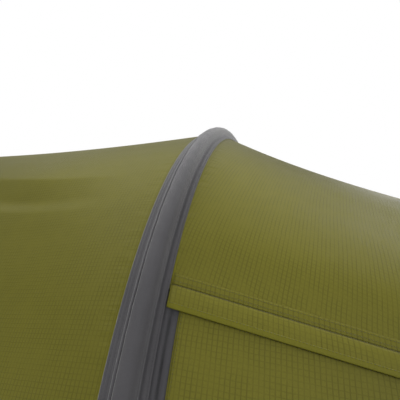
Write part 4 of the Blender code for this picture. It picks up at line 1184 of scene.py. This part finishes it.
def foot_strap(label, hoop, name, side):
    """Returns the line of its bar tack: a zigzag of close stitches that holds it to the sleeve."""
    down = THROUGH_BUCKLE if name == "near" else STRAIGHT_DOWN
    path = [on_sleeve(hoop, side, height) for height in (0.150, 0.122)]
    path += [np.array([hoop.x, side * (hoop.half + out), high]) for out, high in down + TO_FOOT]
    node = f"{label}_foot_strap_{name}"
    points = strap(f"{label}_strap_{name}", path, ALONG_X, WEB_WIDE, node, slot=len(path) - 3)
    top, under = points[1, 4], points[5, 4]
    along = unit(under - top)
    out = np.cross(ALONG_X, along)
    out = out * (1 if out[1] * side > 0 else -1)
    middle = (top + under) / 2 + out * (WEB_THICK + 0.0002)
    share, turn = np.linspace(-1, 1, 14)[:, None], np.tile([-1, 1], 7)[:, None]
    return middle + along * 0.006 * share + ALONG_X * 0.0075 * turn


def guy_loop(label, hoop, name, side):
    out, base = hoop.out(hoop.angle_at(GUY_HIGH, side)), on_sleeve(hoop, side, GUY_HIGH)
    along = np.cross(ALONG_X, out)
    loop = GUY_LOOP + ((0.025, 0.0),) + tuple((rise, -run) for rise, run in reversed(GUY_LOOP))
    path = [base + out * rise + along * run for rise, run in loop]
    node = f"{label}_guy_loop_{name}"
    strap(f"{label}_guy_tab_{name}", path, ALONG_X, GUY_WIDE, node, base + out * 0.014, thick=GUY_THICK)


def peg_loop(label, x, half, ahead, name, side):
    outward = unit(np.array([ahead, side * 0.6, 0.0]))
    level = np.array([x, side * (half - 0.012), 0.0])
    path = [level + outward * out + UPWARD * high for out, high in PEG_TAB]
    across, inside = np.cross(outward, UPWARD), level - outward - UPWARD * 0.2
    strap(f"{label}_peg_tab_{name}", path, across, WEB_WIDE, f"{label}_peg_loop_{name}", inside, 3)


def hanger(name, x):
    low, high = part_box(f"inner_hanger_{name}")
    path = [np.array([x, 0, z]) for z in np.linspace(low.z, high.z, 3)]
    strap(f"hanger_tape_{name}", path, ALONG_Y, HANGER_WIDE, f"inner_hanger_{name}", (x - 1, 0, 1))


def build_webbing():
    tacks = [foot_strap(label, hoop, *side) for label, hoop, _, _ in JOINS for side in SIDES]
    for label, hoop, _, _ in JOINS[:2]:
        for side in SIDES:
            guy_loop(label, hoop, *side)
    for end in (("nose", X_NOSE, NOSE_HALF, 1), ("tail", X_TAIL, TAIL_HALF, -1)):
        for side in SIDES:
            peg_loop(*end, *side)
    hanger("front", 0.44)
    hanger("rear", -0.50)
    stitch("strap_bar_tacks", tacks, THREAD, "tent", "webbing", 0.0030, 0.0028, 0.0004)


# Rigid pieces of the model that stay, with better materials


def dress(kind, material, bevel=None):
    for name in sorted(NODES):
        if kind in name:
            node = NODES[name]
            node.data.materials.clear()
            node.data.materials.append(material)
            if bevel:
                round_edges(node, bevel, 3, 40)


def build_rigid():
    dress("_pole_section_", ALLOY)
    dress("_pole_cup_", PLASTIC, 0.0006)
    dress("_strap_buckle_", PLASTIC, 0.0006)
    dress("rear_vent_lip_rod", PLASTIC)
    dress("_zip_slider", ZIP_METAL, 0.0003)


# Light, floor and camera

DOME = 0.15
WHITE = (1.0, 1.0, 1.0, 1.0)
SOFT_ANGLE = math.radians(35)
HOOP_LAMP_AIM = Vector((-0.25, 0.1, 0.95)).normalized()
HOOP_LAMP_AT = Vector((0.55, -0.2, 0.9)) + HOOP_LAMP_AIM * 1.2
HOOP_LAMP_SIZE, HOOP_LAMP_POWER = 0.9, 7.8
LIGHTS = (
    ("soft_behind_right", (0.45, 0.85, 0.18), 0.690),
    ("soft_right_back", (0.5, 0.5, 0.7), 0.530),
    ("soft_right_front", (0.6, -0.7, 0.35), 0.507),
    ("soft_left", (-0.5, 0.0, 0.85), 0.440),
    ("soft_left_front", (-0.5, -0.5, 0.7), 0.369),
    ("soft_back", (0.0, 0.6, 0.8), 0.355),
    ("soft_left_back", (-0.5, 0.5, 0.7), 0.199),
    ("soft_top", (0.0, 0.0, 1.0), 0.162),
    ("soft_right", (1.0, -0.25, 0.3), 0.089),
)


def build_studio_floor():
    bpy.ops.mesh.primitive_circle_add(vertices=96, radius=24, fill_type="NGON", location=(0, 0, -0.0006))
    floor = bpy.context.object
    floor.name = "studio_floor"
    paint = Paint("Pale studio floor", Roughness=0.9, Specular_IOR_Level=0.2)
    pale = paint.tones(paint.grain(0.8, 2.0), 0.3, 0.7, (0.66, 0.66, 0.66), (0.70, 0.70, 0.69))
    floor.data.materials.append(paint.wear(Base_Color=pale))


def build_world():
    """A weak dome of light. The camera sees plain white instead of it."""
    world = bpy.data.worlds.new("Studio")
    bpy.context.scene.world = world
    world.use_nodes = True
    tree = world.node_tree
    dome, seen_white = tree.nodes["Background"], tree.nodes.new("ShaderNodeBackground")
    for background, strength in ((dome, DOME), (seen_white, 1.0)):
        background.inputs["Color"].default_value = WHITE
        background.inputs["Strength"].default_value = strength
    mix = tree.nodes.new("ShaderNodeMixShader")
    by_camera = tree.nodes.new("ShaderNodeLightPath").outputs["Is Camera Ray"]
    for socket, output in enumerate((by_camera, dome.outputs[0], seen_white.outputs[0])):
        tree.links.new(output, mix.inputs[socket])
    tree.links.new(mix.outputs[0], tree.nodes["World Output"].inputs["Surface"])


def add_lamp(name, kind, direction, energy, **settings):
    light = bpy.data.lights.new(name, kind)
    light.energy = energy
    for key, value in settings.items():
        setattr(light, key, value)
    lamp = add_object(name, light)
    lamp.rotation_mode = "QUATERNION"
    lamp.rotation_quaternion = Vector(direction).normalized().to_track_quat("Z", "Y")
    return lamp


def build_stage():
    build_studio_floor()
    build_world()
    for name, direction, strength in LIGHTS:
        add_lamp(name, "SUN", direction, strength, angle=SOFT_ANGLE)
    disk = {"shape": "DISK", "size": HOOP_LAMP_SIZE}
    lamp = add_lamp("lamp_over_hoop", "AREA", HOOP_LAMP_AIM, HOOP_LAMP_POWER, **disk)
    lamp.location = HOOP_LAMP_AT
    lamp.visible_glossy = False


def build_camera():
    left, down = math.radians(CAMERA_LEFT), math.radians(CAMERA_DOWN)
    ahead = Vector((-math.sin(left) * math.cos(down), math.cos(left) * math.cos(down), -math.sin(down)))
    right = Vector((math.cos(left), math.sin(left), 0))
    data = bpy.data.cameras.new("photo_camera")
    data.lens = CAMERA_LENS
    data.sensor_width = CAMERA_SENSOR
    data.clip_start = 0.02
    data.clip_end = 200
    camera = add_object("photo_camera", data)
    turn = Matrix((right, right.cross(ahead), -ahead)).transposed().to_4x4()
    camera.matrix_world = Matrix.Translation(Vector(CAMERA_AT)) @ turn
    bpy.context.scene.camera = camera


build_camera()
build_stage()
build_fly()
build_hems()
build_flap()
build_door()
build_sleeves()
build_seam_edges()
build_inner()
build_floor()
build_vent()
build_webbing()
build_rigid()
bpy.context.scene.view_settings.view_transform = "Standard"
bpy.context.view_layer.update()
